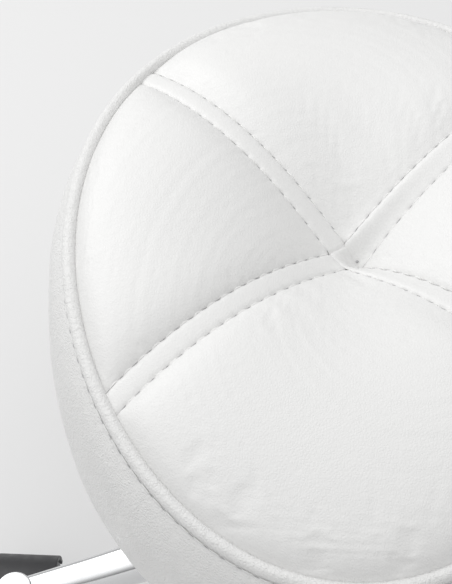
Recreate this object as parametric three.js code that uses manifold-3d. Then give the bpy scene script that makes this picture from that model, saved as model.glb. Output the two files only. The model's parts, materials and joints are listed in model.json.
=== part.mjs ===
// A low pedicure stool: an oval tufted cushion on a gas lift, a five-armed base and twin-wheel casters.
// Millimetres, +Z up. The origin is on the floor, on the axis of the column. X is the sitter's width,
// and -Y is the front.
import * as THREE from 'three';
import { mergeVertices } from 'three/addons/utils/BufferGeometryUtils.js';
import Module from 'manifold-3d';

const wasm = await Module();
wasm.setup();

// ---------------------------------------------------------------- driving dimensions

// Cushion. Radii along the cushion are counted on its short axis, and warp() makes them oval.
const SEAM_RADIUS = 145;
const SEAM_HALF_WIDTH = 200;
const BOARD_BOTTOM = 290;
const BOARD_THICKNESS = 12;
const SEAM_HEIGHT = 376;
const SADDLE = 13;
const SADDLE_FADE = 60;
const TUFT_DEPTH = 21.5;
const CROWN = 12.5;
const COVER = 3.2;
const STRAP_WIDTH = 12.5;
const PIPING_RADIUS = 3.2;
const GAP = 0.3;

// Seat plate and release lever.
const PLATE_SIZE = 150;
const PLATE_THICKNESS = 2.5;
const BOLT_SPACING = 110;
const LEVER_HEIGHT = 279.3;
const LEVER_RADIUS = 4;
const LEVER_PIVOT_X = -38;
const LEVER_BEND_X = -52;
const LEVER_END_X = -205;
const LEVER_DROOP = THREE.MathUtils.degToRad(8);

// Gas lift.
const COLUMN_RADIUS = 25;
const COLUMN_BOTTOM = 46;
const COLUMN_TOP = 206;
const CYLINDER_RADIUS = 14;
const CYLINDER_BOTTOM = 84;
const CYLINDER_TOP = 270;
const TAPER_START = 232;
const TAPER_TOP_RADIUS = 12.6;
const ROD_RADIUS = 5;

// Base and casters.
const ARMS = 5;
const BASE_RADIUS = 215;
const ARM_TIP_RADIUS = 12;
const ARM_UNDERSIDE = 60.3;
const WHEEL_RADIUS = 25;
const WHEEL_INNER = 7.5;
const WHEEL_OUTER = 21.5;
const HOOD_RADIUS = 29.5;
// The casters all trail towards -X by the amount that centres the standing outline on the column.
const CASTER_TRAIL = BASE_RADIUS * (1 - Math.cos(Math.PI / ARMS)) + ARM_TIP_RADIUS - HOOD_RADIUS;

// ---------------------------------------------------------------- materials

function material(color, roughness, metalness) {
  return new THREE.MeshStandardMaterial({ color, roughness, metalness });
}

const whiteLeather = material(0xf1f0ee, 0.45, 0);
const foam = material(0xe8dfae, 0.95, 0);
const plywood = material(0xc9a56f, 0.7, 0);
const blackFelt = material(0x1c1c1e, 0.95, 0);
const chrome = material(0xd9dcdf, 0.12, 1);
const polishedAluminium = material(0xcfd2d5, 0.15, 1);
const zincSteel = material(0xa9adb1, 0.4, 1);
const blackSteel = material(0x1b1c1e, 0.4, 0.6);
const blackPlastic = material(0x161617, 0.5, 0);
const greyTyre = material(0x4b4d50, 0.7, 0);

// ---------------------------------------------------------------- solids

// Sides of round pieces, by size. Pieces that turn in one another share a count or have room for it.
const SMALL = 10;
const MEDIUM = 20;
const LARGE = 24;

const group = new THREE.Group();

function signedVolume(geometry) {
  const p = geometry.attributes.position;
  const index = geometry.index.array;
  const a = new THREE.Vector3();
  const b = new THREE.Vector3();
  const c = new THREE.Vector3();
  let total = 0;
  for (let i = 0; i < index.length; i += 3) {
    a.fromBufferAttribute(p, index[i]);
    b.fromBufferAttribute(p, index[i + 1]);
    c.fromBufferAttribute(p, index[i + 2]);
    total += a.dot(b.cross(c)) / 6;
  }
  return total;
}

// One closed mesh with merged corners, no empty triangles and its faces pointing out.
function closed(geometry) {
  const bare = geometry.clone();
  bare.deleteAttribute('normal');
  bare.deleteAttribute('uv');
  const merged = mergeVertices(bare, 1e-4);
  const kept = [];
  const index = merged.index.array;
  for (let i = 0; i < index.length; i += 3) {
    const [a, b, c] = [index[i], index[i + 1], index[i + 2]];
    if (a !== b && b !== c && c !== a) kept.push(a, b, c);
  }
  merged.setIndex(kept);
  if (signedVolume(merged) < 0) {
    for (let i = 0; i < kept.length; i += 3) [kept[i], kept[i + 1]] = [kept[i + 1], kept[i]];
    merged.setIndex(kept);
  }
  return merged;
}

function toSolid(geometry) {
  const g = closed(geometry);
  const vertProperties = new Float32Array(g.attributes.position.array);
  const triVerts = new Uint32Array(g.index.array);
  return new wasm.Manifold(new wasm.Mesh({ numProp: 3, vertProperties, triVerts }));
}

function toGeometry(solid) {
  const mesh = solid.getMesh();
  const geometry = new THREE.BufferGeometry();
  geometry.setAttribute('position', new THREE.BufferAttribute(new Float32Array(mesh.vertProperties), 3));
  geometry.setIndex(Array.from(mesh.triVerts));
  return geometry;
}

function join(first, ...others) {
  return toGeometry(others.reduce((solid, other) => solid.add(toSolid(other)), toSolid(first)));
}

function cut(body, ...tools) {
  return toGeometry(tools.reduce((solid, tool) => solid.subtract(toSolid(tool)), toSolid(body)));
}

function common(body, tool) {
  return toGeometry(toSolid(body).intersect(toSolid(tool)));
}

function add(name, geometry, look, parent = group) {
  const mesh = new THREE.Mesh(closed(geometry), look);
  mesh.name = name;
  parent.add(mesh);
  return mesh;
}

// A solid of revolution about Z. The profile is a list of [radius, height].
function turned(profile, segments) {
  const points = profile.map(([radius, height]) => new THREE.Vector2(radius, height));
  return new THREE.LatheGeometry(points, segments).rotateX(Math.PI / 2);
}

// A closed ring: its profile returns to its first point and stays off the axis.
function turnedRing(profile, segments) {
  return turned([...profile, profile[0]], segments);
}

function disc(radius, low, high, segments) {
  return turned([[0, low], [radius, low], [radius, high], [0, high]], segments);
}

function tube(inner, outer, low, high, segments) {
  return turnedRing([[inner, low], [outer, low], [outer, high], [inner, high]], segments);
}

function box(lowX, highX, lowY, highY, lowZ, highZ) {
  const shape = new THREE.BoxGeometry(highX - lowX, highY - lowY, highZ - lowZ);
  return shape.translate((lowX + highX) / 2, (lowY + highY) / 2, (lowZ + highZ) / 2);
}

// A prism: an outline of [a, b] points extruded by the given depth along +Z from zero.
function prism(outline, depth) {
  const shape = new THREE.Shape(outline.map(([a, b]) => new THREE.Vector2(a, b)));
  return new THREE.ExtrudeGeometry(shape, { depth, bevelEnabled: false });
}

// ---------------------------------------------------------------- cushion

const RING_SEGMENTS = 32;
const DIAGONAL = Math.PI / 4;
const REACH = 260;

// Turns a round cushion solid into the oval one, and lifts its rim at the front and back.
function warp(geometry) {
  const p = geometry.attributes.position;
  for (let i = 0; i < p.count; i += 1) {
    const radius = Math.hypot(p.getX(i), p.getY(i));
    const angle = Math.atan2(p.getY(i), p.getX(i));
    const inside = Math.min(radius, SEAM_RADIUS);
    const beyond = radius - inside;
    const fade = THREE.MathUtils.clamp((p.getZ(i) - BOARD_BOTTOM - BOARD_THICKNESS) / SADDLE_FADE, 0, 1);
    const saddle = -SADDLE * Math.cos(2 * angle) * (inside / SEAM_RADIUS) ** 2 * fade;
    const x = ((inside * SEAM_HALF_WIDTH) / SEAM_RADIUS + beyond) * Math.cos(angle);
    p.setXYZ(i, x, radius * Math.sin(angle), p.getZ(i) + saddle);
  }
  return geometry;
}

// Height of the top cover at a share t of the seam radius: dipped at the middle, crowned, level at 1.
function topHeight(t) {
  return SEAM_HEIGHT - TUFT_DEPTH * (1 - t) * (1 - 2 * t) + 4 * CROWN * t * (1 - t);
}

const TOP_STEPS = [0, 0.1, 0.22, 0.37, 0.53, 0.7, 0.86, 1];
const topProfile = TOP_STEPS.map((t) => [t * SEAM_RADIUS, topHeight(t)]);
const underProfile = topProfile.map(([radius, height]) => [radius, height - COVER]).reverse();
const cover = warp(turned([...topProfile, ...underProfile], RING_SEGMENTS));

// The four top panels, one between each two straps.
const CHANNEL = STRAP_WIDTH / 2 + GAP;
const PANEL_NAMES = ['top_panel_right', 'top_panel_rear', 'top_panel_left', 'top_panel_front'];
PANEL_NAMES.forEach((name, k) => {
  const wedge = box(CHANNEL, REACH, CHANNEL, REACH, BOARD_BOTTOM, SEAM_HEIGHT + REACH);
  wedge.rotateZ(-DIAGONAL + (k * Math.PI) / 2);
  add(name, common(cover, wedge), whiteLeather);
});

// The straps: one whole, from front left to rear right, and two halves that butt against it.
function strap(from, to, angle) {
  const half = STRAP_WIDTH / 2;
  const bar = box(from, to, -half, half, BOARD_BOTTOM, SEAM_HEIGHT + REACH);
  return common(cover, bar.rotateZ(angle));
}

add('strap_whole', strap(-REACH, REACH, DIAGONAL), whiteLeather);
add('strap_half_front', strap(CHANNEL, REACH, -DIAGONAL), whiteLeather);
add('strap_half_rear', strap(CHANNEL, REACH, Math.PI - DIAGONAL), whiteLeather);

// The piping lies against the edge of the top cover.
function pipingProfile(sides) {
  const profile = [];
  for (let k = 0; k < sides; k += 1) {
    const turn = (2 * Math.PI * k) / sides;
    const radius = SEAM_RADIUS + PIPING_RADIUS + 1 + PIPING_RADIUS * Math.cos(turn);
    profile.push([radius, SEAM_HEIGHT - 0.5 + PIPING_RADIUS * Math.sin(turn)]);
  }
  return profile;
}

add('piping', warp(turnedRing(pipingProfile(6), RING_SEGMENTS)), whiteLeather);

// The side band bulges out below the piping and turns in under the board, where it is stapled.
const SIDE_BAND = [
  [147, 371], [154.5, 367.5], [160, 357], [162, 340], [161, 321], [156.5, 304], [151, 292],
  [146, 288], [134.3, 287.2], [134.3, 289.6], [146.4, 289.7], [153.3, 304], [157.8, 321],
  [158.8, 340], [156.9, 355.5], [152.4, 364.6], [147, 368.6],
];
add('side_band', warp(turnedRing(SIDE_BAND, RING_SEGMENTS)), whiteLeather);

const FOAM_SIDE = [
  [144.6, SEAM_HEIGHT - COVER - GAP - 0.2], [146.6, 368], [152, 364], [156.4, 355.2], [158.3, 340],
  [157.3, 321], [151.9, BOARD_BOTTOM + BOARD_THICKNESS + GAP],
];
const foamTop = topProfile.slice(0, -1).map(([radius, height]) => [radius, height - COVER - GAP]);
const foamProfile = [...foamTop, ...FOAM_SIDE, [0, BOARD_BOTTOM + BOARD_THICKNESS + GAP]];
add('foam_pad', warp(turned(foamProfile, RING_SEGMENTS)), foam);

// ---------------------------------------------------------------- board, plate and fasteners

const BOARD_TOP = BOARD_BOTTOM + BOARD_THICKNESS;
const BOARD_RADIUS = 146;
const PLATE_TOP = BOARD_BOTTOM - GAP;
const PLATE_BOTTOM = PLATE_TOP - PLATE_THICKNESS;
const TEE_FLANGE_RADIUS = 9;
const TEE_BARREL_RADIUS = 4.7;
const TEE_BORE_RADIUS = 3.3;
const TEE_FLANGE_TOP = BOARD_TOP - 0.2;
const TEE_FLANGE_BOTTOM = TEE_FLANGE_TOP - 1.3;
const BOLT_RADIUS = 3;
const BOLT_CORNERS = [[1, 1], [-1, 1], [-1, -1], [1, -1]].map(
  ([x, y]) => [(x * BOLT_SPACING) / 2, (y * BOLT_SPACING) / 2],
);

const boardBlank = warp(disc(BOARD_RADIUS, BOARD_BOTTOM, BOARD_TOP, RING_SEGMENTS));
const boardHoles = BOLT_CORNERS.flatMap(([x, y]) => [
  disc(TEE_BARREL_RADIUS + GAP, BOARD_BOTTOM - 1, BOARD_TOP + 1, SMALL).translate(x, y, 0),
  disc(TEE_FLANGE_RADIUS + GAP, TEE_FLANGE_BOTTOM - GAP, BOARD_TOP + 1, SMALL).translate(x, y, 0),
]);
add('seat_board', cut(boardBlank, ...boardHoles), plywood);

const DUST_COVER_RADIUS = 133.8;
const plateClearance = PLATE_SIZE / 2 + 2;
const dustCover = warp(disc(DUST_COVER_RADIUS, BOARD_BOTTOM - 1.3, PLATE_TOP, RING_SEGMENTS));
const plateOpening = box(-plateClearance, plateClearance, -plateClearance, plateClearance, 280, 300);
add('dust_cover', cut(dustCover, plateOpening), blackFelt);

BOLT_CORNERS.forEach(([x, y], k) => {
  const tee = turnedRing([
    [TEE_BORE_RADIUS, BOARD_BOTTOM + 2], [TEE_BARREL_RADIUS, BOARD_BOTTOM + 2],
    [TEE_BARREL_RADIUS, TEE_FLANGE_BOTTOM], [TEE_FLANGE_RADIUS, TEE_FLANGE_BOTTOM],
    [TEE_FLANGE_RADIUS, TEE_FLANGE_TOP], [TEE_BORE_RADIUS, TEE_FLANGE_TOP],
  ], SMALL);
  add(`t_nut_${k + 1}`, tee, zincSteel).position.set(x, y, 0);
  const bolt = turned([
    [0, PLATE_BOTTOM - 4.3], [5.5, PLATE_BOTTOM - 4.3], [5.5, PLATE_BOTTOM - GAP],
    [BOLT_RADIUS, PLATE_BOTTOM - GAP], [BOLT_RADIUS, BOARD_TOP - 2], [0, BOARD_TOP - 2],
  ], SMALL);
  add(`plate_bolt_${k + 1}`, bolt, zincSteel).position.set(x, y, 0);
});

// The seat plate carries a pressed channel, open towards the lever, and the welded taper socket.
const CHANNEL_HALF_WIDTH = 26.5;
const CHANNEL_BOTTOM = 250;
const CHANNEL_REAR_X = 32;
const CHANNEL_OPEN_X = -46;
const SOCKET_RADIUS = 18.5;
const SOCKET_BOTTOM = 238;
const SOCKET_TOP = 268;
const PIVOT_RADIUS = 2;

function roundedPlate() {
  const half = PLATE_SIZE / 2;
  const corner = 14;
  const shape = new THREE.Shape();
  shape.moveTo(-half + corner, -half);
  shape.absarc(half - corner, -half + corner, corner, -Math.PI / 2, 0, false);
  shape.absarc(half - corner, half - corner, corner, 0, Math.PI / 2, false);
  shape.absarc(-half + corner, half - corner, corner, Math.PI / 2, Math.PI, false);
  shape.absarc(-half + corner, -half + corner, corner, Math.PI, 1.5 * Math.PI, false);
  const options = { depth: PLATE_THICKNESS, bevelEnabled: false, curveSegments: 4 };
  return new THREE.ExtrudeGeometry(shape, options).translate(0, 0, PLATE_BOTTOM);
}

function acrossLever(radius, halfLength, segments) {
  const rod = disc(radius, -halfLength, halfLength, segments);
  return rod.rotateX(Math.PI / 2).translate(LEVER_PIVOT_X, 0, LEVER_HEIGHT);
}

const wall = PLATE_THICKNESS;
const channelOuter = box(
  CHANNEL_OPEN_X, CHANNEL_REAR_X, -CHANNEL_HALF_WIDTH, CHANNEL_HALF_WIDTH,
  CHANNEL_BOTTOM, PLATE_BOTTOM + 0.2,
);
const channelInner = box(
  CHANNEL_OPEN_X - 1, CHANNEL_REAR_X - wall, -CHANNEL_HALF_WIDTH + wall, CHANNEL_HALF_WIDTH - wall,
  CHANNEL_BOTTOM + wall, PLATE_BOTTOM + 1,
);
const channel = cut(channelOuter, channelInner);
const socketBore = turned([
  [0, SOCKET_BOTTOM - 2], [CYLINDER_RADIUS + 0.4, SOCKET_BOTTOM - 2],
  [TAPER_TOP_RADIUS + 0.4, SOCKET_TOP + 2], [0, SOCKET_TOP + 2],
], MEDIUM);
const plateHoles = BOLT_CORNERS.map(
  ([x, y]) => disc(BOLT_RADIUS + 0.4, PLATE_BOTTOM - 1, PLATE_TOP + 1, SMALL).translate(x, y, 0),
);
const welded = join(roundedPlate(), channel, disc(SOCKET_RADIUS, SOCKET_BOTTOM, SOCKET_TOP, MEDIUM));
const pivotHoles = acrossLever(PIVOT_RADIUS + GAP, CHANNEL_HALF_WIDTH + 2, SMALL);
add('seat_plate', cut(welded, socketBore, pivotHoles, ...plateHoles), blackSteel);

// ---------------------------------------------------------------- release lever

const leverEndHeight = LEVER_HEIGHT + (LEVER_END_X - LEVER_BEND_X) * Math.tan(LEVER_DROOP);

function leverRod() {
  const bendStart = new THREE.Vector3(LEVER_BEND_X + 8, 0, LEVER_HEIGHT);
  const bendEnd = new THREE.Vector3(LEVER_BEND_X - 8, 0, LEVER_HEIGHT - 8 * Math.tan(LEVER_DROOP));
  const path = new THREE.CurvePath();
  path.add(new THREE.LineCurve3(new THREE.Vector3(9, 0, LEVER_HEIGHT), bendStart));
  const corner = new THREE.Vector3(LEVER_BEND_X, 0, LEVER_HEIGHT);
  path.add(new THREE.QuadraticBezierCurve3(bendStart, corner, bendEnd));
  path.add(new THREE.LineCurve3(bendEnd, new THREE.Vector3(LEVER_END_X, 0, leverEndHeight)));
  const section = new THREE.Shape();
  section.absarc(0, 0, LEVER_RADIUS, 0, 2 * Math.PI, false);
  const options = { steps: 12, extrudePath: path, bevelEnabled: false, curveSegments: 4 };
  return new THREE.ExtrudeGeometry(section, options);
}

const lever = cut(join(leverRod(), acrossLever(7, 6, 12)), acrossLever(PIVOT_RADIUS + GAP, 10, SMALL));
add('height_lever', lever, chrome);
add('lever_pivot_pin', acrossLever(PIVOT_RADIUS, CHANNEL_HALF_WIDTH + 1.5, SMALL), zincSteel);

// The grip is a sleeve over the end of the lever, closed at its outer end.
const GRIP_LENGTH = 56;
const grip = turned([
  [0, 1], [LEVER_RADIUS + 0.5, 1], [LEVER_RADIUS + 0.5, -GRIP_LENGTH], [5.8, -GRIP_LENGTH],
  [7, -GRIP_LENGTH + 3], [6.4, -GRIP_LENGTH / 2], [7.4, -2], [6.6, 3], [4, 4.5], [0, 5],
], 12);
grip.rotateY(-Math.PI / 2 - LEVER_DROOP);
add('lever_grip', grip, blackPlastic).position.set(LEVER_END_X, 0, leverEndHeight);

// ---------------------------------------------------------------- gas lift

const PIN_RADIUS = 4;
const PIN_BORE_BOTTOM = 256;
const PIN_TOP = LEVER_HEIGHT - LEVER_RADIUS - 0.4;
add('release_pin', disc(PIN_RADIUS, PIN_BORE_BOTTOM + 4.5, PIN_TOP, SMALL), zincSteel);

const CYLINDER_BORE = 12;
const gasCylinder = turned([
  [0, 250], [CYLINDER_BORE, 250], [CYLINDER_BORE, CYLINDER_BOTTOM], [CYLINDER_RADIUS, CYLINDER_BOTTOM],
  [CYLINDER_RADIUS, TAPER_START], [TAPER_TOP_RADIUS, CYLINDER_TOP], [PIN_RADIUS + GAP, CYLINDER_TOP],
  [PIN_RADIUS + GAP, PIN_BORE_BOTTOM], [0, PIN_BORE_BOTTOM],
], MEDIUM);
add('gas_cylinder', gasCylinder, chrome);
add('rod_gland', tube(ROD_RADIUS + GAP, CYLINDER_BORE - 0.4, CYLINDER_BOTTOM + 2, CYLINDER_BOTTOM + 12, MEDIUM),
  blackPlastic);

const COLUMN_FLOOR = COLUMN_BOTTOM + 4;
const ROD_END_RADIUS = 4;
const RACE_BORE = ROD_END_RADIUS + 0.6;
const RACE_RADIUS = 16;
const RACE_THICKNESS = 2;
const BALL_RADIUS = 1.5;
const BALL_CIRCLE = 11;
const lowerRaceBottom = COLUMN_FLOOR + GAP;
const ballCentre = lowerRaceBottom + RACE_THICKNESS + GAP + BALL_RADIUS;
const upperRaceBottom = ballCentre + BALL_RADIUS + GAP;
const shoulderHeight = upperRaceBottom + RACE_THICKNESS + GAP;
const PISTON_BOTTOM = 228;

const pistonRod = turned([
  [0, COLUMN_BOTTOM - 4], [ROD_END_RADIUS, COLUMN_BOTTOM - 4], [ROD_END_RADIUS, COLUMN_BOTTOM - 2.4],
  [3, COLUMN_BOTTOM - 2.4], [3, COLUMN_BOTTOM - 0.6], [ROD_END_RADIUS, COLUMN_BOTTOM - 0.6],
  [ROD_END_RADIUS, shoulderHeight], [7, shoulderHeight], [7, shoulderHeight + 3],
  [ROD_RADIUS, shoulderHeight + 3], [ROD_RADIUS, PISTON_BOTTOM], [CYLINDER_BORE - 0.4, PISTON_BOTTOM],
  [CYLINDER_BORE - 0.4, PISTON_BOTTOM + 10], [0, PISTON_BOTTOM + 10],
], MEDIUM);
add('piston_rod', pistonRod, chrome);

function retainingClip() {
  const shape = new THREE.Shape();
  const opening = THREE.MathUtils.degToRad(25);
  shape.absarc(0, 0, 8, opening, 2 * Math.PI - opening, false);
  shape.absarc(0, 0, 3.3, 2 * Math.PI - opening, opening, true);
  const options = { depth: 1.2, bevelEnabled: false, curveSegments: 8 };
  return new THREE.ExtrudeGeometry(shape, options).translate(0, 0, COLUMN_BOTTOM - 2.1);
}

add('retaining_clip', retainingClip(), zincSteel);
add('thrust_race_lower', tube(RACE_BORE, RACE_RADIUS, lowerRaceBottom, lowerRaceBottom + RACE_THICKNESS, 16),
  zincSteel);
add('thrust_race_upper', tube(RACE_BORE, RACE_RADIUS, upperRaceBottom, upperRaceBottom + RACE_THICKNESS, 16),
  zincSteel);

function ballCage() {
  const balls = [];
  const count = 6;
  for (let k = 0; k < count; k += 1) {
    const turn = (2 * Math.PI * k) / count;
    const ball = new THREE.SphereGeometry(BALL_RADIUS, 5, 4).rotateX(Math.PI / 2);
    balls.push(ball.translate(BALL_CIRCLE * Math.cos(turn), BALL_CIRCLE * Math.sin(turn), ballCentre));
  }
  return join(tube(7, 15, ballCentre - 0.7, ballCentre + 0.7, 16), ...balls);
}

add('thrust_ball_cage', ballCage(), zincSteel);

const outerColumn = turnedRing([
  [RACE_BORE, COLUMN_BOTTOM], [COLUMN_RADIUS, COLUMN_BOTTOM], [COLUMN_RADIUS, COLUMN_TOP],
  [COLUMN_RADIUS - 2, COLUMN_TOP], [COLUMN_RADIUS - 2, COLUMN_FLOOR], [RACE_BORE, COLUMN_FLOOR],
], LARGE);
add('outer_column', outerColumn, chrome);

const BUSH_BOTTOM = 128;
const columnBush = turnedRing([
  [CYLINDER_RADIUS + 0.4, BUSH_BOTTOM], [COLUMN_RADIUS - 2.6, BUSH_BOTTOM],
  [COLUMN_RADIUS - 2.6, COLUMN_TOP + GAP], [COLUMN_RADIUS, COLUMN_TOP + GAP],
  [COLUMN_RADIUS - 1, COLUMN_TOP + 4], [CYLINDER_RADIUS + 0.4, COLUMN_TOP + 4],
], LARGE);
add('column_bush', columnBush, blackPlastic);

// ---------------------------------------------------------------- five-armed base

const HUB_RADIUS = 33;
const HUB_BOTTOM = 64;
const HUB_TOP = 120;
const STEM_TOP = 78;
const STEM_HEAD_RADIUS = 5.5;
const STEM_TAIL_RADIUS = 4.5;
const STEM_BOTTOM = 40;

const armAngles = [];
for (let k = 0; k < ARMS; k += 1) armAngles.push((2 * Math.PI * k) / ARMS);
const stemPlaces = armAngles.map((angle) => [BASE_RADIUS * Math.cos(angle), BASE_RADIUS * Math.sin(angle)]);

// One arm along +X: its outline from above crossed with its outline from the side.
function arm() {
  const fromAbove = prism([[20, -17], [BASE_RADIUS, -10.5], [BASE_RADIUS, 10.5], [20, 17]], 140);
  const fromSide = prism([
    [20, 70], [120, 64.5], [BASE_RADIUS, 62], [BASE_RADIUS, 82], [160, 86], [100, 95], [60, 105],
    [36, 116], [20, 118],
  ], 60);
  return common(fromAbove, fromSide.translate(0, 0, -30).rotateX(Math.PI / 2));
}

const armTips = stemPlaces.map(
  ([x, y]) => disc(ARM_TIP_RADIUS, ARM_UNDERSIDE, STEM_TOP + 6, 12).translate(x, y, 0),
);
const stemSockets = stemPlaces.map(
  ([x, y]) => disc(STEM_HEAD_RADIUS + 0.5, ARM_UNDERSIDE - 5, STEM_TOP + 1, SMALL).translate(x, y, 0),
);
const hub = turned([
  [0, HUB_BOTTOM], [HUB_RADIUS, HUB_BOTTOM], [HUB_RADIUS, HUB_TOP - 6], [HUB_RADIUS - 4, HUB_TOP], [0, HUB_TOP],
], LARGE);
const starBlank = join(hub, ...armAngles.map((angle) => arm().rotateZ(angle)), ...armTips);
const columnHole = disc(COLUMN_RADIUS + 0.4, HUB_BOTTOM - 5, HUB_TOP + 5, LARGE);
add('star_base', cut(starBlank, columnHole, ...stemSockets), polishedAluminium);

// ---------------------------------------------------------------- casters

const AXLE_RADIUS = 3;
const AXLE_HALF_LENGTH = 19;
const WEB_HALF_WIDTH = 7;
const POCKET_RADIUS = WHEEL_RADIUS + 1.5;
const HOUSING_TOP = ARM_UNDERSIDE - 0.7;
const WHEEL_SEGMENTS = 14;

// Each caster is drawn trailing towards -Y with its axle along X, then turned to trail towards -X.

// A disc whose axis lies along X through the axle.
function alongAxle(radius, low, high, segments) {
  return disc(radius, low, high, segments).rotateY(Math.PI / 2).translate(0, -CASTER_TRAIL, WHEEL_RADIUS);
}

// The hood and its middle web, with the stem boss, in the caster's own frame: stem axis at the origin.
function casterHousing() {
  const arc = new THREE.Shape();
  arc.absarc(0, 0, HOOD_RADIUS, 0, Math.PI, false);
  const options = { depth: 44, bevelEnabled: false, curveSegments: 8 };
  const hood = new THREE.ExtrudeGeometry(arc, options).translate(0, 0, -22);
  hood.rotateX(Math.PI / 2).rotateZ(Math.PI / 2).translate(0, -CASTER_TRAIL, WHEEL_RADIUS);
  const web = alongAxle(14, -WEB_HALF_WIDTH, WEB_HALF_WIDTH, 12);
  const boss = disc(9, 36, HOUSING_TOP, 12);
  const pockets = [
    alongAxle(POCKET_RADIUS, WEB_HALF_WIDTH, 30, 16),
    alongAxle(POCKET_RADIUS, -30, -WEB_HALF_WIDTH, 16),
  ];
  const stemBore = disc(STEM_TAIL_RADIUS + 0.5, STEM_BOTTOM - 0.5, HOUSING_TOP + 5, SMALL);
  return cut(join(hood, web, boss), ...pockets, stemBore, alongAxle(AXLE_RADIUS + GAP, -25, 25, SMALL));
}

// One wheel on the +X side, closed at its outer face. A facet of its tread lies flat on the floor.
function casterWheel() {
  const tread = WHEEL_RADIUS / Math.cos(Math.PI / WHEEL_SEGMENTS);
  const bore = AXLE_RADIUS + GAP;
  const wheel = turned([
    [0, WHEEL_OUTER], [tread - 2.5, WHEEL_OUTER], [tread, WHEEL_OUTER - 2.5], [tread, WHEEL_INNER],
    [bore, WHEEL_INNER], [bore, AXLE_HALF_LENGTH + 0.5], [0, AXLE_HALF_LENGTH + 0.5],
  ], WHEEL_SEGMENTS);
  return wheel.rotateY(Math.PI / 2).translate(0, -CASTER_TRAIL, WHEEL_RADIUS);
}

function casterStem() {
  return turned([
    [0, STEM_BOTTOM], [STEM_TAIL_RADIUS, STEM_BOTTOM], [STEM_TAIL_RADIUS, ARM_UNDERSIDE + GAP],
    [STEM_HEAD_RADIUS, ARM_UNDERSIDE + GAP], [STEM_HEAD_RADIUS, STEM_TOP - 2],
    [STEM_HEAD_RADIUS - 2, STEM_TOP], [0, STEM_TOP],
  ], SMALL);
}

const housing = casterHousing();
const rightWheel = casterWheel();
const leftWheel = casterWheel().scale(-1, 1, 1);
const stem = casterStem();
const axle = alongAxle(AXLE_RADIUS, -AXLE_HALF_LENGTH, AXLE_HALF_LENGTH, SMALL);

stemPlaces.forEach(([x, y], k) => {
  const caster = new THREE.Group();
  caster.position.set(x, y, 0);
  caster.rotation.z = -Math.PI / 2;
  add(`caster_${k + 1}_stem`, stem, zincSteel, caster);
  add(`caster_${k + 1}_housing`, housing, blackPlastic, caster);
  add(`caster_${k + 1}_axle`, axle, zincSteel, caster);
  add(`caster_${k + 1}_wheel_left`, leftWheel, greyTyre, caster);
  add(`caster_${k + 1}_wheel_right`, rightWheel, greyTyre, caster);
  group.add(caster);
});

export default group;
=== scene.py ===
"""Looks for the oval pedicure stool: its upholstery, under-seat mechanism, gas lift, base and casters.

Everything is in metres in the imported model's frame: +Z up, the floor at zero, the column on the Z axis,
X along the sitter's width and -Y the front.
"""
import json
import math
import random

import bmesh
import bpy
import numpy as np
from mathutils import Matrix, Vector


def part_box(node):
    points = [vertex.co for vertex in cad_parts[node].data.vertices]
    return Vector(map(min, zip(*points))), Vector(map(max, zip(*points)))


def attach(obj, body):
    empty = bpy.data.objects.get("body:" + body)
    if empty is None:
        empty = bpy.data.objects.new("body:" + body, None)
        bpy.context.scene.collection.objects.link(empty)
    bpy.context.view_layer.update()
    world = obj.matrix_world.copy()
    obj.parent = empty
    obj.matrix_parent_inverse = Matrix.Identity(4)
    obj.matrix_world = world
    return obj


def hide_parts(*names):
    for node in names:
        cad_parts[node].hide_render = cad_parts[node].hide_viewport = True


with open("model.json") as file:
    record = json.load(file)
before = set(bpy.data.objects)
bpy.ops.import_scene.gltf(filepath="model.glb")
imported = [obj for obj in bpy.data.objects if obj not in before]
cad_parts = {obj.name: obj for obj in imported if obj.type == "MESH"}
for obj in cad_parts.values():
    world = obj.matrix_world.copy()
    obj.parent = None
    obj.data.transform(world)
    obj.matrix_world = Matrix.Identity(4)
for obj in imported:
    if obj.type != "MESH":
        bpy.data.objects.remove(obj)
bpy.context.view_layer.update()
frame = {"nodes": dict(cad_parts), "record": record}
MM = 0.001
TAU = 2 * math.pi

# ---- sizes

# Piping and seam ring: the ring where the top panels meet the piping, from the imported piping's box.
PIPING_RADIUS = 3.6 * MM
PIPING_OFFSET = 3.75 * MM
PIPING_DROP = 0.9 * MM
RING_INSET = 7.4 * MM
piping_low, piping_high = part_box("piping")
SEAM_X = piping_high[0] - RING_INSET
SEAM_Y = piping_high[1] - RING_INSET
SEAM_HEIGHT = (piping_low[2] + piping_high[2]) / 2 + 0.5 * MM

# Shape of the top: a saddle at the rim, a tufted dip in the middle and a crown between.
SADDLE = 13 * MM
TUFT_DEPTH = 21.5 * MM
CROWN = 12.5 * MM
DIMPLE_ROUND = 0.035
PUFF_MIDDLE = 4.5 * MM
PUFF_RIM = 7.5 * MM
PUFF_REACH = 8.5 * MM
RIM_ROLL = 3.6 * MM
RIM_DIP = 0.6 * MM
RIM_TUCK = 1.3 * MM

# The tuft's thread comes through beside the crossing and pulls the rear panel's corner down the most.
PULL_PLACE = (-3.2 * MM, 7.0 * MM)
PULL_DEPTH = 2.5 * MM
PULL_REACH = 9 * MM
CORNER_DROP = 11.0 * MM
CORNER_REACH = 45 * MM

# Straps and their stitching.
STRAP_WIDTH = 12.5 * MM
HALF_STRAP = STRAP_WIDTH / 2
HALF_WIDTHS = (HALF_STRAP, 7.3 * MM, HALF_STRAP, HALF_STRAP)
HALF_STRAP_START = HALF_STRAP - 0.8 * MM
STRAP_CROWN = 0.45 * MM
SEAM_DIP = 1.1 * MM
SEAM_DIP_REACH = 1.3 * MM
STITCH_PITCHES = (8.3 * MM, 8.9 * MM, 9.6 * MM, 9.2 * MM)
# Needle slots are thin dark tubes of painted shadow, of this length, width and slant.
HOLE_LENGTH = 3.6 * MM
HOLE_WIDTH = 0.22 * MM
HOLE_SLANT = 0.28
THREAD_RADIUS = 0.42 * MM
LEATHER_THICKNESS = 1.2 * MM
CREASE_DEPTH = 0.8 * MM
CREASE_REACH = 0.7 * MM
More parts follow.
